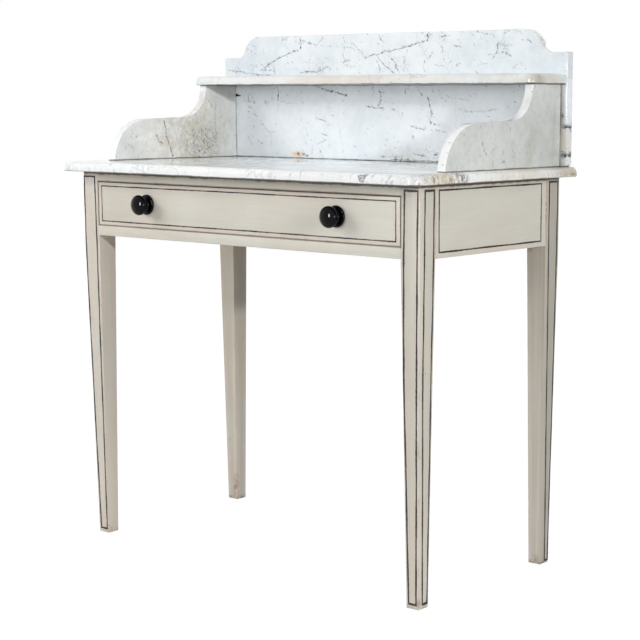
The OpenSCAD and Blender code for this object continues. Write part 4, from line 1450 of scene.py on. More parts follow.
@dataclass
class MarbleWork:
    """The marble slab, splashback, brackets and shelf, with their veins, worn arrises and chips.

    Tables give places in millimetres. A tangle and a chip are places along and up the splashback, with their
    reach. The first chip is at its front face and the second at its back.
    """

    arris: float = 1.3 * MM
    moulding_arris: float = 0.6 * MM
    end_margin: float = 6 * MM
    chip_rough: float = 0.6 * MM
    chip_from_front: float = 7 * MM
    chip_from_back: float = 2 * MM
    flake_rough: float = 0.5 * MM
    flake_reach: float = 17 * MM
    flake_depth: float = 22 * MM
    flake_middle: float = 329 * MM
    flake_out: float = 2.4 * MM
    flake_up: float = 0.5 * MM
    flake_turn: float = 0.12
    wedge_length: float = 14 * MM
    wedge_height: float = 6.5 * MM
    wedge_thick: float = 2 * MM
    wedge_middle: float = 865.5 * MM
    wedge_tip: float = 864 * MM
    wedge_taper: float = 0.15
    wedge_arris: float = 0.3 * MM
    near: float = 0.1 * MM
    faces_front: float = -0.3
    faces_right: float = 0.9

    RUST = srgb(236, 190, 122)
    DIRT = srgb(98, 86, 70)
    TEA = srgb(212, 196, 160)
    UMBER = srgb(66, 54, 42)
    # Brown-grey of stain and painted shade on the splashback beyond the right bracket.
    ASH_AND_SHADE = srgb(142, 134, 120)
    CHIPS = ((376, 970, 10), (380, 956, 9))
    CHIP_STRETCH = (0.9, 1.4, 0.9)
    TANGLES = (
        (-262, 975, 17), (-217, 974, 15), (-304, 918, 24), (-352, 956, 24), (-160, 916, 22), (-92, 930, 18),
        (-396, 912, 20), (55, 925, 24), (290, 948, 24), (150, 972, 20),
    )
    ZONE_EDGES = ((-250, -60, 80, 230), (894,))
    BEYOND = 2000
    SPLASH_SEED = 1.27
    SPLASH_VEINS = (
        Strand(((-431, 917), (-414, 915), (-385, 913), (-369, 910), (-339, 907), (-295, 905)), 1.5, 0.6),
        Strand(((-326, 917), (-307, 928), (-291, 935), (-272, 941), (-253, 946), (-235, 952),
                (-221, 955)), 1.6, 0.85),
        Strand(((-221, 954), (-216, 961), (-215, 969), (-222, 980)), 1.5, 0.8, True),
        Strand(((-268, 976), (-257, 978), (-247, 982)), 1.8, 0.6),
        Strand(((-213, 974), (-204, 971), (-188, 968), (-170, 964)), 1.4, 0.5),
        Strand(((-154, 983), (-161, 973), (-169, 965), (-179, 959)), 1.5, 0.5, True),
        Strand(((-164, 963), (-140, 961), (-99, 960), (-61, 955)), 1.1, 0.28),
        Strand(((-103, 983), (-99, 975), (-97, 967), (-98, 955), (-102, 945), (-95, 934),
                (-87, 927)), 1.2, 0.42, True),
        Strand(((-105, 928), (-95, 931), (-84, 933)), 1.8, 0.5),
        Strand(((-96, 923), (-84, 922), (-74, 914)), 1.2, 0.42),
        Strand(((-83, 968), (-71, 963), (-61, 954), (-54, 948), (-45, 939)), 1.2, 0.55),
        Strand(((-47, 937), (-35, 940), (-24, 943), (-8, 944), (5, 949), (24, 950), (45, 954), (78, 960),
                (108, 968)), 1.6, 0.85),
        Strand(((109, 966), (113, 973), (112, 977), (115, 982), (128, 984)), 1.5, 0.75, True),
        Strand(((-8, 983), (-4, 975), (7, 964)), 1.8, 0.75, True),
        Strand(((-15, 941), (-4, 932), (10, 922), (24, 913), (33, 908)), 1.4, 0.6),
        Strand(((12, 944), (24, 935), (33, 927), (36, 918), (44, 908)), 1.4, 0.6, True),
        Strand(((-21, 935), (-10, 927), (-5, 915), (-6, 906)), 1.2, 0.45, True),
        Strand(((-220, 908), (-192, 913), (-174, 912), (-159, 914), (-148, 920), (-139, 922)), 1.9, 0.7),
        Strand(((-139, 922), (-136, 915), (-144, 912)), 1.5, 0.5, True),
        Strand(((-213, 932), (-192, 931), (-171, 928)), 1.1, 0.3),
        Strand(((-190, 941), (-192, 930), (-193, 917)), 1.1, 0.3, True),
        Strand(((-330, 922), (-322, 916), (-310, 923)), 1.6, 0.45),
        Strand(((-296, 925), (-291, 915), (-294, 900)), 1.2, 0.5, True),
        Strand(((-356, 968), (-338, 964)), 1.2, 0.3),
        Strand(((-322, 964), (-319, 950)), 1.2, 0.35, True),
        Strand(((-54, 971), (-52, 956), (-47, 937)), 1.0, 0.3, True),
        Strand(((64, 953), (62, 947), (56, 937), (55, 929), (59, 918), (73, 911)), 1.2, 0.42, True),
        Strand(((175, 956), (184, 955), (195, 953)), 1.8, 0.65),
        Strand(((227, 983), (248, 978), (266, 974), (276, 968)), 1.1, 0.4),
        Strand(((276, 967), (281, 961), (294, 954), (305, 945)), 1.4, 0.55),
        Strand(((280, 963), (278, 953), (277, 945), (272, 937), (264, 929)), 1.6, 0.75, True),
        Strand(((255, 940), (264, 939)), 1.6, 0.55),
        Strand(((285, 945), (292, 944), (300, 940), (311, 936)), 2.0, 0.75),
        Strand(((343, 966), (351, 962), (359, 959)), 1.9, 0.8),
        Strand(((323, 922), (319, 918), (314, 912)), 1.4, 0.5, True),
        Strand(((230, 918), (243, 923), (259, 925)), 1.1, 0.3),
        Strand(((132, 921), (146, 921), (159, 921)), 1.2, 0.45),
        Strand(((125, 947), (117, 936), (106, 934), (104, 922), (104, 906)), 1.1, 0.35, True),
        Strand(((139, 959), (150, 952), (148, 943)), 1.5, 0.5, True),
        Strand(((162, 948), (164, 939), (163, 929)), 1.1, 0.3, True),
        Strand(((141, 974), (161, 976)), 2.0, 0.45),
        Strand(((180, 968), (191, 966)), 1.5, 0.45),
        Strand(((416, 940), (424, 935), (429, 931)), 1.4, 0.4),
        Strand(((-287, 885), (-282, 878), (-278, 871), (-280, 863), (-281, 852)), 1.6, 0.8, True),
        Strand(((-281, 853), (-281, 832)), 1.0, 0.4, True),
        Strand(((-185, 885), (-167, 881), (-149, 875), (-131, 872), (-111, 869), (-88, 862)), 1.8, 0.9),
        Strand(((-4, 870), (-5, 855), (-8, 846), (-14, 840)), 1.6, 0.85, True),
        Strand(((-43, 845), (-25, 842), (-11, 841), (1, 840), (6, 835)), 1.4, 0.65),
        Strand(((-11, 875), (-3, 871), (6, 870)), 1.4, 0.6),
        Strand(((-366, 863), (-365, 847)), 1.2, 0.6, True),
        Strand(((-320, 856), (-315, 847)), 1.5, 0.6, True),
        Strand(((-356, 828), (-344, 822), (-339, 819)), 1.5, 0.6),
        Strand(((-340, 815), (-324, 803), (-309, 791), (-299, 788)), 1.1, 0.45),
        Strand(((-299, 788), (-300, 774), (-303, 757)), 1.0, 0.35, True),
        Strand(((-180, 818), (-161, 816), (-142, 813)), 1.4, 0.6),
        Strand(((-165, 791), (-154, 788), (-142, 784)), 1.4, 0.65),
        Strand(((-173, 765), (-159, 771), (-145, 777)), 1.4, 0.6),
        Strand(((-181, 764), (-186, 754), (-186, 743)), 1.2, 0.45, True),
        Strand(((-163, 757), (-164, 749)), 1.1, 0.4, True),
        Strand(((-345, 775), (-334, 768), (-323, 764)), 1.4, 0.55),
        Strand(((-373, 783), (-363, 771), (-354, 761)), 1.2, 0.45),
        Strand(((-288, 750), (-281, 742)), 1.2, 0.4, True),
        Strand(((-139, 768), (-136, 758)), 1.2, 0.4, True),
        Strand(((-277, 854), (-259, 852), (-238, 848)), 1.1, 0.4),
        Strand(((0, 746), (15, 747)), 1.8, 0.45),
        Strand(((31, 747), (44, 746)), 2.0, 0.5),
        Strand(((-24, 885), (-22, 874), (-25, 862)), 1.1, 0.5, True),
        Strand(((112, 865), (118, 851), (121, 842), (123, 830), (120, 819), (124, 810)), 1.9, 0.9, True),
        Strand(((124, 811), (138, 809), (147, 804)), 1.5, 0.7),
        Strand(((128, 799), (144, 798), (162, 793)), 1.4, 0.6),
        Strand(((66, 806), (78, 805), (92, 802), (115, 801)), 1.6, 0.85),
        Strand(((56, 884), (59, 876), (56, 865)), 1.2, 0.5, True),
        Strand(((86, 880), (97, 872), (101, 864)), 1.4, 0.55, True),
        Strand(((125, 879), (130, 869)), 1.4, 0.55, True),
        Strand(((156, 859), (158, 850)), 1.4, 0.45, True),
        Strand(((186, 841), (210, 836), (239, 835), (262, 838), (286, 841)), 1.6, 0.3),
        Strand(((156, 861), (180, 859), (212, 857)), 1.1, 0.3),
        Strand(((-5, 844), (5, 836)), 2.2, 0.8, True),
        Strand(((22, 840), (35, 835)), 1.9, 0.6),
        Strand(((52, 834), (53, 825)), 1.4, 0.5, True),
        Strand(((78, 754), (99, 751), (113, 750)), 1.8, 0.6),
        Strand(((128, 751), (141, 758)), 2.0, 0.7),
        Strand(((-6, 746), (14, 746), (33, 747), (58, 745)), 1.6, 0.5),
        Strand(((75, 787), (81, 782)), 1.5, 0.5),
        Strand(((422, 808), (432, 808), (444, 814)), 5.0, 0.9),
        Strand(((420, 756), (436, 760), (446, 769)), 5.5, 0.95),
        Strand(((422, 766), (434, 764)), 2.0, 0.8),
        Strand(((422, 831), (429, 823)), 4.0, 0.7),
    )
    SPLASH_GRIME = (
        Strand(((20, 741), (150, 741), (400, 741)), 1.8, 0.7),
        Strand(((230, 741), (300, 741), (405, 741)), 2.6, 0.9),
        Strand(((388, 744), (394, 748), (399, 752)), 3.2, 0.9),
    )
    LEFT_VEINS = (
        Strand(((3, 817), (10, 801), (11, 787), (17, 772), (25, 754), (27, 739)), 2.6, 0.75, True),
        Strand(((-19, 791), (-12, 781), (-7, 772), (4, 770)), 3.0, 0.55),
        Strand(((-70, 786), (-65, 783)), 3.2, 0.6),
        Strand(((-84, 768), (-75, 758)), 2.4, 0.4, True),
        Strand(((127, 862), (145, 836)), 1.6, 0.35, True),
        Strand(((85, 800), (87, 771), (90, 756)), 3.0, 0.4, True),
        Strand(((150, 850), (149, 780)), 2.4, 0.25, True),
    )
    RIGHT_VEINS = (
        Strand(((-27, 790), (-18, 774), (-12, 767), (0, 759), (6, 753), (8, 740)), 1.6, 0.4, True),
        Strand(((7, 775), (2, 765)), 2.0, 0.4, True),
        Strand(((72, 769), (64, 757)), 2.0, 0.4, True),
        Strand(((27, 750), (43, 752)), 3.0, 0.4),
        Strand(((-109, 789), (-105, 786)), 2.4, 0.6),
    )
    SLAB_VEINS = (
        Strand(((300, -230), (318, -180), (322, -120)), 2.6, 0.4, True),
        Strand(((350, -230), (352, -190)), 3.0, 0.5, True),
        Strand(((444, -120), (425, -112)), 3.0, 0.6),
        Strand(((-300, -230), (-280, -190)), 2.4, 0.4, True),
        Strand(((-150, -230), (-146, -205)), 3.0, 0.3, True),
        Strand(((60, -230), (72, -200)), 3.0, 0.3, True),
        Strand(((-400, -230), (-392, -196)), 2.6, 0.35, True),
        Strand(((190, -230), (184, -196)), 3.0, 0.3, True),
    )

    def __post_init__(self) -> None:
        """Reads the marble's boxes from the frame, and makes the two broken faces."""
        self.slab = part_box("marble_top")
        self.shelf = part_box("marble_shelf")
        self.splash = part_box("marble_splashback")
        self.inner_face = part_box("marble_bracket_left")[1].x
        self.chipped = BrokenMarble().material()
        self.flaked = BrokenMarble("marble_flaked", srgb(140, 142, 144), srgb(196, 199, 200)).material()

    def sawn(self, node: str, stone: Marble, arris: float) -> Piece:
        """Makes one piece of marble, with all its sharp outer edges eased.

        Args:
            node: The frame's node.
            stone: Its finish.
            arris: How far the easing reaches.

        Returns:
            The piece.
        """
        piece = Bench.copy_node(node, f"carved_{node}")
        Bench.dress(piece, stone.material())
        low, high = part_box(node)

        def outer(first: Vector, last: Vector) -> bool:
            """Leaves out the edges of the dowel holes, which lie inside the piece's outline."""
            inside = all(low.x + self.end_margin < p.x < high.x - self.end_margin for p in (first, last))
            return not (inside and self.near_dowel(first) and self.near_dowel(last))

        Bench.ease(piece, arris, outer, worn_slot=0)
        Bench.smooth(piece)
        return piece

    @staticmethod
    def near_dowel(point: Vector) -> bool:
        """Tells whether a point lies on the wall of a dowel hole."""
        for node in ("splashback_dowels", "bracket_dowels", "shelf_dowels"):
            for vertex in frame["nodes"][node].data.vertices:
                if math.hypot(point.x - vertex.co.x, point.y - vertex.co.y) < MM:
                    return True
        return False

    def build(self) -> None:
        """Makes the five pieces of marble and the wedge under the shelf."""
        self.make_slab()
        self.make_splashback()
        self.make_brackets()
        self.make_shelf()
        self.wedge()

    def make_slab(self) -> None:
        """Makes the slab, stained along its right end and with a flake gone from its front edge."""
        right, front, back = (edge / MM for edge in (self.slab[1].x, self.slab[0].y, self.slab[1].y))
        top = self.slab[1].z / MM
        edge = top - 9
        streaky = (1.0, 1.0, 0.5)
        stains_or_painted_shade = (
            StainOrPaintedLight((right, front + 72, edge - 4), 84, self.TEA, 0.6, 16.0, sparse=-0.1),
            StainOrPaintedLight((right - 60, front, edge), 40, srgb(128, 126, 120), 0.5, 170.0, streaky, sparse=0.1),
            StainOrPaintedLight((right - 8, front + 16, edge), 30, self.DIRT, 0.6, 150.0, streaky, sparse=0.06),
            StainOrPaintedLight((right, front + 52, edge), 30, self.DIRT, 0.75, 150.0, streaky, sparse=0.04),
            StainOrPaintedLight((right, front + 100, edge), 42, self.DIRT, 0.8, 160.0, streaky, sparse=0.04),
            StainOrPaintedLight((right, front + 122, edge), 24, self.UMBER, 0.9, 210.0, streaky, sparse=0.03),
            StainOrPaintedLight((right, front + 300, edge), 160, srgb(222, 212, 188), 0.6, 18.0, sparse=-0.1),
            StainOrPaintedLight((right, back - 20, edge), 74, srgb(176, 160, 132), 0.85, 16.0, sparse=-0.15),
            StainOrPaintedLight((right, back - 12, top - 13), 16, srgb(112, 74, 54), 0.9, 60.0, squash=(1.0, 1.0, 7.0),
                  sparse=-0.15),
        )
        stone = Marble("marble_slab", Plane.TOP, 0.31, white=srgb(245, 247, 247), clouds=0.26, network=0.3,
                       flecks=0.0, edge_tint=0.1, strokes=0.6, foot=self.slab[0].z, strands=self.SLAB_VEINS,
                       stains_or_painted_shade=stains_or_painted_shade)
        piece = self.sawn("marble_top", stone, self.moulding_arris)
        Bench.hand_over(self.spalled(piece), "stand", "marble")

    def make_brackets(self) -> None:
        """Makes the two brackets: the left mottled and speckled, the right greyer with bands of painted
        shade.
        """
        inner, outer = self.inner_face / MM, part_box("marble_bracket_right")[1].x / MM
        mottled = (
            StainOrPaintedLight((inner, 70, 795), 190, srgb(203, 196, 180), 0.65, 34.0),
            StainOrPaintedLight((inner, 60, 780), 120, srgb(188, 178, 160), 0.5, 90.0),
            StainOrPaintedLight((inner, 112, 762), 74, self.DIRT, 1.0, 270.0, sparse=0.08),
            StainOrPaintedLight((inner, 100, 790), 110, self.DIRT, 0.5, 250.0, sparse=0.12),
            StainOrPaintedLight((inner, -60, 775), 60, self.DIRT, 0.5, 250.0, sparse=0.14),
        )
        # Painted shade: soft grey upright bands towards the back of the right bracket's outer face.
        painted_shade_bands = (
            StainOrPaintedLight((outer, 116, 800), 26, srgb(182, 178, 168), 0.6, 30.0, squash=(1.0, 1.0, 0.22)),
            StainOrPaintedLight((outer, 180, 800), 90, srgb(186, 186, 178), 0.45, 30.0),
        )
        # rim=0.66 lightens the faces round each bracket's edge as a painted highlight.
        left = Marble("marble_bracket_left_stone", Plane.SIDE, 2.4, white=srgb(233, 234, 232),
                      cloud=srgb(200, 203, 200), vein=srgb(92, 92, 90), clouds=0.65, network=0.2, flecks=0.5,
                      fleck_turn=1.35, fleck_size=(0.022, 0.005), rim=0.66, foot=self.slab[1].z,
                      head=(self.shelf[0].z, self.shelf[1].x), wall=self.splash[0].y, strands=self.LEFT_VEINS,
                      stains_or_painted_shade=mottled)
        right = replace(left, name="marble_bracket_right_stone", seed=3.9, white=srgb(216, 218, 215),
                        cloud=srgb(182, 185, 181), strands=self.RIGHT_VEINS, stains_or_painted_shade=painted_shade_bands)
        for side, stone in (("left", left), ("right", right)):
            Bench.hand_over(self.sawn(f"marble_bracket_{side}", stone, self.arris), "stand", "marble")

    def make_shelf(self) -> None:
        """Makes the shelf, with its yellowed edge."""
        end, front, foot = (edge / MM for edge in (self.shelf[1].x, self.shelf[0].y, self.shelf[0].z))
        stains_or_painted_shade = (
            StainOrPaintedLight((end, front + 14, foot + 6), 34, srgb(150, 144, 124), 0.75, 30.0, sparse=-0.2),
            StainOrPaintedLight((end - 80, front, foot + 8), 110, srgb(206, 202, 188), 0.6, 20.0),
            StainOrPaintedLight((end, front + 50, foot + 7), 60, srgb(204, 198, 182), 0.65, 24.0, sparse=-0.2),
            StainOrPaintedLight((-40, front, foot + 8), 330, srgb(216, 206, 190), 0.6, 12.0, sparse=-0.08),
        )
        stone = Marble("marble_shelf_stone", Plane.FRONT, 5.2, clouds=0.4, network=0.3, flecks=0.25,
                       edge_tint=0.6, cream=srgb(213, 208, 196), foot=self.shelf[0].z, stains_or_painted_shade=stains_or_painted_shade)
        Bench.hand_over(self.sawn("marble_shelf", stone, self.moulding_arris), "stand", "marble")

    def splash_stains_and_shade(self) -> tuple[StainOrPaintedLight, ...]:
        """Places patches below the shelf: rust, dots, grey marks, and stain with painted shade at the right
        end.
        """
        face = self.splash[0].y / MM
        grey = srgb(110, 116, 120)
        low, flat = (1.0, 1.0, 2.0), (1.0, 1.0, 4.0)
        return (
            StainOrPaintedLight((-227, face, 746.5), 20, self.RUST, 0.9, 70.0, squash=(0.7, 1.0, 2.4), sparse=-0.08),
            StainOrPaintedLight((-225, face, 747.5), 5, srgb(122, 76, 40), 0.9, 20.0, sparse=-0.3),
            StainOrPaintedLight((-211, face, 746.5), 9, srgb(112, 88, 66), 0.9, 260.0, squash=low, sparse=-0.05),
            StainOrPaintedLight((-201, face, 743.5), 8, srgb(104, 84, 66), 0.9, 260.0, squash=low, sparse=-0.05),
            StainOrPaintedLight((-362, face, 858), 26, srgb(122, 116, 106), 0.65, 190.0, (1.0, 1.0, 0.7), sparse=0.08),
            # Painted shade with some stain: a brown-grey upright band where the splashback shows beyond the
            # right bracket.
            StainOrPaintedLight((421.5, face, 811), 10, self.ASH_AND_SHADE, 0.75, 14.0, squash=(1.0, 1.0, 0.07), sparse=-0.3),
            StainOrPaintedLight((420, face, 811), 3, self.UMBER, 0.9, 30.0, squash=(1.0, 1.0, 0.02), sparse=-0.2),
            StainOrPaintedLight((428, face, 811), 14, srgb(104, 106, 106), 0.85, 90.0, squash=(1.0, 0.4, 2.6), sparse=-0.1),
            StainOrPaintedLight((430, face, 761), 15, srgb(104, 104, 102), 0.85, 90.0, squash=(1.0, 0.4, 2.3), sparse=-0.1),
            StainOrPaintedLight((430, face, 780), 44, srgb(214, 207, 190), 0.6, 18.0, squash=(1.0, 1.0, 0.8), sparse=-0.2),
            StainOrPaintedLight((424, face, 829), 5, srgb(72, 72, 74), 0.8, 160.0, sparse=-0.1),
            StainOrPaintedLight((300, face, 756), 110, grey, 0.5, 190.0, squash=flat, sparse=0.12),
            StainOrPaintedLight((120, face, 756), 110, grey, 0.5, 190.0, squash=flat, sparse=0.12),
            StainOrPaintedLight((40, face, 752), 110, srgb(206, 208, 196), 0.5, 30.0, squash=(1.0, 1.0, 3.0)),
        )

    def make_splashback(self) -> None:
        """Makes the splashback, whose front is laid out in zones with the veins of each."""
        foot, face = self.slab[1].z, self.splash[0].y / MM
        tangles = tuple(StainOrPaintedLight((x, face, z), reach, srgb(84, 92, 106), 0.75, 230.0, sparse=0.1)
                        for x, z, reach in self.TANGLES)
        plain = Marble("marble_splash_plain", Plane.FRONT, self.SPLASH_SEED, clouds=0.4, network=0.4,
                       flecks=0.3, foot=foot)
        # The lower zones take a lighter, bluer white, partly as painted light against the shade under the
        # shelf.
        lower = replace(plain, white=srgb(241, 246, 250), network=0.12, flecks=0.6, fleck_turn=0.45,
                        fleck_size=(0.024, 0.0042), head=(self.shelf[0].z, self.shelf[1].x),
                        stains_or_painted_shade=self.splash_stains_and_shade())
        # The upper zones take a darker white as painted shade, with more clouds, veins and tangles.
        upper = replace(lower, white=srgb(230, 235, 237), clouds=0.7, network=0.65, head=None, stains_or_painted_shade=tangles)
        piece = self.sawn("marble_splashback", plain, self.arris)
        across, up = self.ZONE_EDGES
        for place, normal in [((x, 0, 0), (1, 0, 0)) for x in across] + [((0, 0, z), (0, 0, 1)) for z in up]:
            with Bench.editing(piece, Pick.FACES):
                bpy.ops.mesh.select_all(action="SELECT")
                bpy.ops.mesh.bisect(plane_co=Vector(place) * MM, plane_no=normal)
        lefts, rights = (-self.BEYOND, *across), (*across, self.BEYOND)
        lows, highs = (0, *up), (*up, self.BEYOND)
        slots: dict[tuple[int, int], int] = {}
        for column, (left, right) in enumerate(zip(lefts, rights)):
            for row, (low, high, base) in enumerate(zip(lows, highs, (lower, upper))):
                box = (left, right, low, high)
                stone = replace(base, name=f"marble_splash_{column}_{row}",
                                strands=self.inside(self.SPLASH_VEINS, box),
                                grime_or_shade=self.inside(self.SPLASH_GRIME, box))
                slots[(column, row)] = len(piece.data.materials)
                piece.data.materials.append(stone.material())
        for polygon in piece.data.polygons:
            if polygon.normal.y < self.faces_front or polygon.normal.x > self.faces_right:
                column = sum(polygon.center.x > edge * MM for edge in across)
                row = sum(polygon.center.z > edge * MM for edge in up)
                polygon.material_index = slots[(column, row)]
        Bench.hand_over(self.chip(piece), "stand", "marble")

    @staticmethod
    def inside(strands: Sequence[Strand], box: Sequence[float]) -> tuple[Strand, ...]:
        """Picks the strands that reach into a zone.

        Args:
            strands: The strands.
            box: The zone's lowest and highest x, then its lowest and highest z.

        Returns:
            The strands that come within a few millimetres of it.
        """
        margin = 6

        def reaches(strand: Strand) -> bool:
            """Tells whether a strand comes near the zone."""
            xs, zs = zip(*strand.path)
            return (max(xs) > box[0] - margin and min(xs) < box[1] + margin
                    and max(zs) > box[2] - margin and min(zs) < box[3] + margin)

        return tuple(strand for strand in strands if reaches(strand))

    @staticmethod
    def bite(piece: Piece, tool: Piece, rough: float, broken: bpy.types.Material) -> None:
        """Knocks the shape of a tool out of a piece, and gives the broken faces their own finish.

        Args:
            piece: The piece.
            tool: The selected shape that goes; it is used up.
            rough: How far its points are shaken first.
            broken: The finish of the broken faces.
        """
        hand = random.Random(round(tool.location.length / MM))
        bpy.ops.object.transform_apply(location=True, rotation=True, scale=True)
        for vertex in tool.data.vertices:
            vertex.co += vertex.normal * hand.uniform(-rough, rough)
        tool.data.materials.append(broken)
        cut = piece.modifiers.new("bite", "BOOLEAN")
        cut.object = tool
        cut.operation = "DIFFERENCE"
        cut.solver = "EXACT"
        cut.material_mode = "TRANSFER"
        Bench.take(piece)
        bpy.ops.object.modifier_apply(modifier=cut.name)
        bpy.data.objects.remove(tool)

    def chip(self, piece: Piece) -> Piece:
        """Knocks two shallow bites out of the splashback's right shoulder and returns the splashback."""
        piece.data.materials.append(self.chipped)
        depths = (self.splash[0].y + self.chip_from_front, self.splash[1].y - self.chip_from_back)
        for (x, z, radius), y in zip(self.CHIPS, depths):
            bpy.ops.object.select_all(action="DESELECT")
            bpy.ops.mesh.primitive_ico_sphere_add(subdivisions=3, radius=radius * MM,
                                                  location=(x * MM, y, z * MM))
            tool = bpy.context.object
            tool.scale = self.CHIP_STRETCH
            self.bite(piece, tool, self.chip_rough, self.chipped)
        Bench.smooth(piece)
        return piece

    def spalled(self, piece: Piece) -> Piece:
        """Knocks a three-cornered flake out of the slab's front edge, over the right end of the drawer.

        Args:
            piece: The slab.

        Returns:
            The same piece.
        """
        piece.data.materials.append(self.flaked)
        top, front = self.slab[1].z, self.slab[0].y
        place = (self.flake_middle, front - self.flake_out, top + self.flake_up - self.flake_depth / 2)
        bpy.ops.object.select_all(action="DESELECT")
        bpy.ops.mesh.primitive_cone_add(vertices=3, radius1=self.flake_reach, depth=self.flake_depth,
                                        rotation=(math.pi, 0, self.flake_turn), location=place)
        tool = bpy.context.object
        with Bench.editing(tool, Pick.FACES):
            bpy.ops.mesh.select_all(action="SELECT")
            bpy.ops.mesh.subdivide(number_cuts=4)
        Bench.take(tool)
        self.bite(piece, tool, self.flake_rough, self.flaked)
        Bench.smooth(piece)
        return piece

    def wedge(self) -> None:
        """Makes the small black wedge where the left bracket, the splashback and the shelf meet."""
        wall = self.splash[0].y
        place = (self.inner_face + self.wedge_length / 2, wall - self.wedge_thick / 2, self.wedge_middle)
        bpy.ops.object.select_all(action="DESELECT")
        bpy.ops.mesh.primitive_cube_add(size=1.0, location=place)
        piece = bpy.context.object
        piece.name = piece.data.name = "joint_wedge"
        piece.scale = (self.wedge_length, self.wedge_thick, self.wedge_height)
        bpy.ops.object.transform_apply(location=True, rotation=False, scale=True)
        tip = self.inner_face + self.wedge_length
        for vertex in piece.data.vertices:
            if abs(vertex.co.x - tip) < self.near:
                vertex.co.z = self.wedge_tip + (vertex.co.z - self.wedge_middle) * self.wedge_taper
                vertex.co.y = (wall + vertex.co.y) / 2
        with Bench.editing(piece, Pick.EDGES):
            bpy.ops.mesh.select_all(action="SELECT")
            bpy.ops.mesh.bevel(offset=self.wedge_arris, segments=2)
        Bench.smooth(piece)
        Bench.dress(piece, OldIron("wedge_iron").material())
        Bench.hand_over(piece, "stand", "iron")


@dataclass(frozen=True)
class PhotoCamera:
    """The camera: its place and turns, and its focal length and centre in the photo's pixels."""

    place: Spot = (2.0873, -2.2599, 0.8554)
    turn_left: float = 38.878
    look_down: float = 9.463
    roll: float = 0.152
    focal: float = 1632.2
    centre: tuple[float, float] = (419.28, 372.48)
    sensor: float = 36.0
    nearest: float = 0.05
    farthest: float = 100.0

    def build(self) -> None:
        """Sets the camera up and makes it the scene's own."""
        data = bpy.data.cameras.new("camera")
        data.sensor_width = self.sensor
        data.lens = self.focal / PHOTO_SIDE * self.sensor
        data.shift_x = (PHOTO_SIDE / 2 - self.centre[0]) / PHOTO_SIDE
        data.shift_y = (self.centre[1] - PHOTO_SIDE / 2) / PHOTO_SIDE
        data.clip_start = self.nearest
        data.clip_end = self.farthest
        camera = bpy.data.objects.new("camera", data)
        bpy.context.scene.collection.objects.link(camera)
        turn = Matrix.Rotation(math.radians(self.turn_left), 4, "Z")
        tilt = Matrix.Rotation(math.radians(90 - self.look_down), 4, "X")
        roll = Matrix.Rotation(math.radians(self.roll), 4, "Z")
        camera.matrix_world = Matrix.Translation(self.place) @ turn @ tilt @ roll
        bpy.context.scene.camera = camera


@dataclass(frozen=True)
class Lamp:
    """A soft lamp, so wide and so high, that looks at the middle of the stand."""

    name: str
    place: Spot
    size: tuple[float, float]
    watts: float
    shine: Shine = Shine.LIGHT
    target: Spot = (0.0, 0.0, 0.6)

    def build(self) -> None:
        """Adds the lamp."""
        data = bpy.data.lights.new(self.name, "AREA")
        data.shape = "RECTANGLE"
        data.size, data.size_y = self.size
        data.energy = self.watts
        lamp = bpy.data.objects.new(self.name, data)
        bpy.context.scene.collection.objects.link(lamp)
        lamp.visible_diffuse, lamp.visible_glossy = self.shine.value
        lamp.location = self.place
        lamp.rotation_euler = (Vector(self.target) - Vector(self.place)).to_track_quat("-Z", "Y").to_euler()


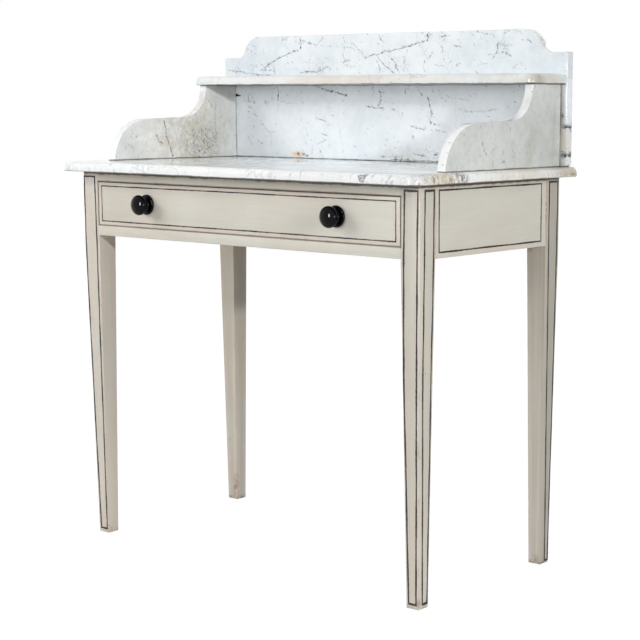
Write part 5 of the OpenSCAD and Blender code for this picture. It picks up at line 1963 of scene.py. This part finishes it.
@dataclass(frozen=True)
class Studio:
    """The pale floor, the white surroundings and the soft lamps.

    The camera sees the floor as paper, which glows a little less by the stand than far from it. Its shade is
    the part that keeps the stand's shadow.
    """

    floor_side: float = 60.0
    floor_drop: float = 0.2 * MM
    floor_grey: Colour = (0.5, 0.5, 0.5, 1.0)
    floor_shade: Colour = (0.16, 0.16, 0.16, 1.0)
    paper: tuple[float, float] = (0.91, 1.0)
    paper_reach: tuple[float, float] = (1.4, 5.5)
    sky: float = 0.04
    sky_tint: Colour = (0.98, 0.99, 1.0, 1.0)
    white: Colour = (1.0, 1.0, 1.0, 1.0)

    LAMPS = (
        Lamp("right_key_lamp", (4.2, -1.3, 1.45), (0.12, 0.12), 86.0),
        Lamp("right_glint", (4.5, -2.33, 1.2), (0.7, 0.7), 90.0, Shine.GLINT),
        Lamp("front_glint", (0.02, -3.85, 1.25), (0.5, 1.3), 150.0, Shine.GLINT),
        Lamp("left_lamp", (-2.65, -2.23, 2.1), (1.8, 1.8), 83.0),
        Lamp("front_strip_lamp", (0.02, -3.85, 1.2), (0.2, 1.0), 34.0),
        Lamp("low_front_lamp", (2.9, -3.1, 0.8), (0.4, 0.4), 10.0, Shine.BOTH),
        Lamp("right_lamp", (3.86, 0.0, 1.64), (1.8, 1.8), 11.0),
        Lamp("high_right_lamp", (2.93, -0.52, 3.28), (1.8, 1.8), 12.0),
        Lamp("top_lamp", (0.2, 0.0, 3.8), (1.8, 1.8), 28.0),
        Lamp("back_lamp", (-0.8, 4.0, 2.4), (1.8, 1.8), 85.0),
    )

    def build(self) -> None:
        """Sets the surroundings up."""
        scene = bpy.context.scene
        scene.view_settings.view_transform = "Standard"
        scene.world = self.surroundings()
        self.floor()
        for lamp in self.LAMPS:
            lamp.build()

    def surroundings(self) -> bpy.types.World:
        """Makes the world: soft grey light on the object, white behind it.

        Returns:
            The world.
        """
        world = bpy.data.worlds.new("studio")
        world.use_nodes = True
        nodes = Nodes(world.node_tree)
        light = nodes.add("ShaderNodeBackground", {"Strength": self.sky, "Color": self.sky_tint})
        white = nodes.add("ShaderNodeBackground", {"Strength": 1.0, "Color": self.white})
        mix = nodes.add("ShaderNodeMixShader", {0: nodes.seen(), 1: light.outputs[0], 2: white.outputs[0]})
        nodes.add("ShaderNodeOutputWorld", {0: mix.outputs[0]})
        return world

    def floor(self) -> None:
        """Lays the pale floor, which looks white and keeps a faint shadow."""
        bpy.ops.object.select_all(action="DESELECT")
        bpy.ops.mesh.primitive_plane_add(size=self.floor_side, location=(0.0, 0.0, -self.floor_drop))
        floor = bpy.context.object
        floor.name = "studio_floor"
        graph = Graph("floor_paper")
        plain = graph.add("ShaderNodeBsdfDiffuse", {"Color": self.floor_grey})
        shade = graph.add("ShaderNodeBsdfDiffuse", {"Color": self.floor_shade})
        away = graph.add("ShaderNodeVectorMath", {0: graph.place}, operation="LENGTH").outputs["Value"]
        fade = graph.add("ShaderNodeMapRange", dict(enumerate((away, *self.paper_reach, *self.paper))))
        glow = graph.add("ShaderNodeEmission", {"Strength": fade.outputs[0]})
        paper = graph.add("ShaderNodeAddShader", {0: shade.outputs[0], 1: glow.outputs[0]})
        mix = graph.add("ShaderNodeMixShader", {0: graph.seen(), 1: plain.outputs[0], 2: paper.outputs[0]})
        graph.add("ShaderNodeOutputMaterial", {"Surface": mix.outputs[0]})
        floor.data.materials.append(graph.material)


def main() -> None:
    """Builds the camera, the studio and every part of the washstand."""
    logging.basicConfig(level=logging.INFO, format="%(name)s: %(message)s")
    PhotoCamera().build()
    Studio().build()
    sizes = TimberSizes.read()
    stand = TimberFrame(sizes)
    stand.build()
    Drawer(stand).build()
    RunningGear().build()
    Lining(sizes).build()
    MarbleWork().build()


if __name__ == "__main__":
    main()
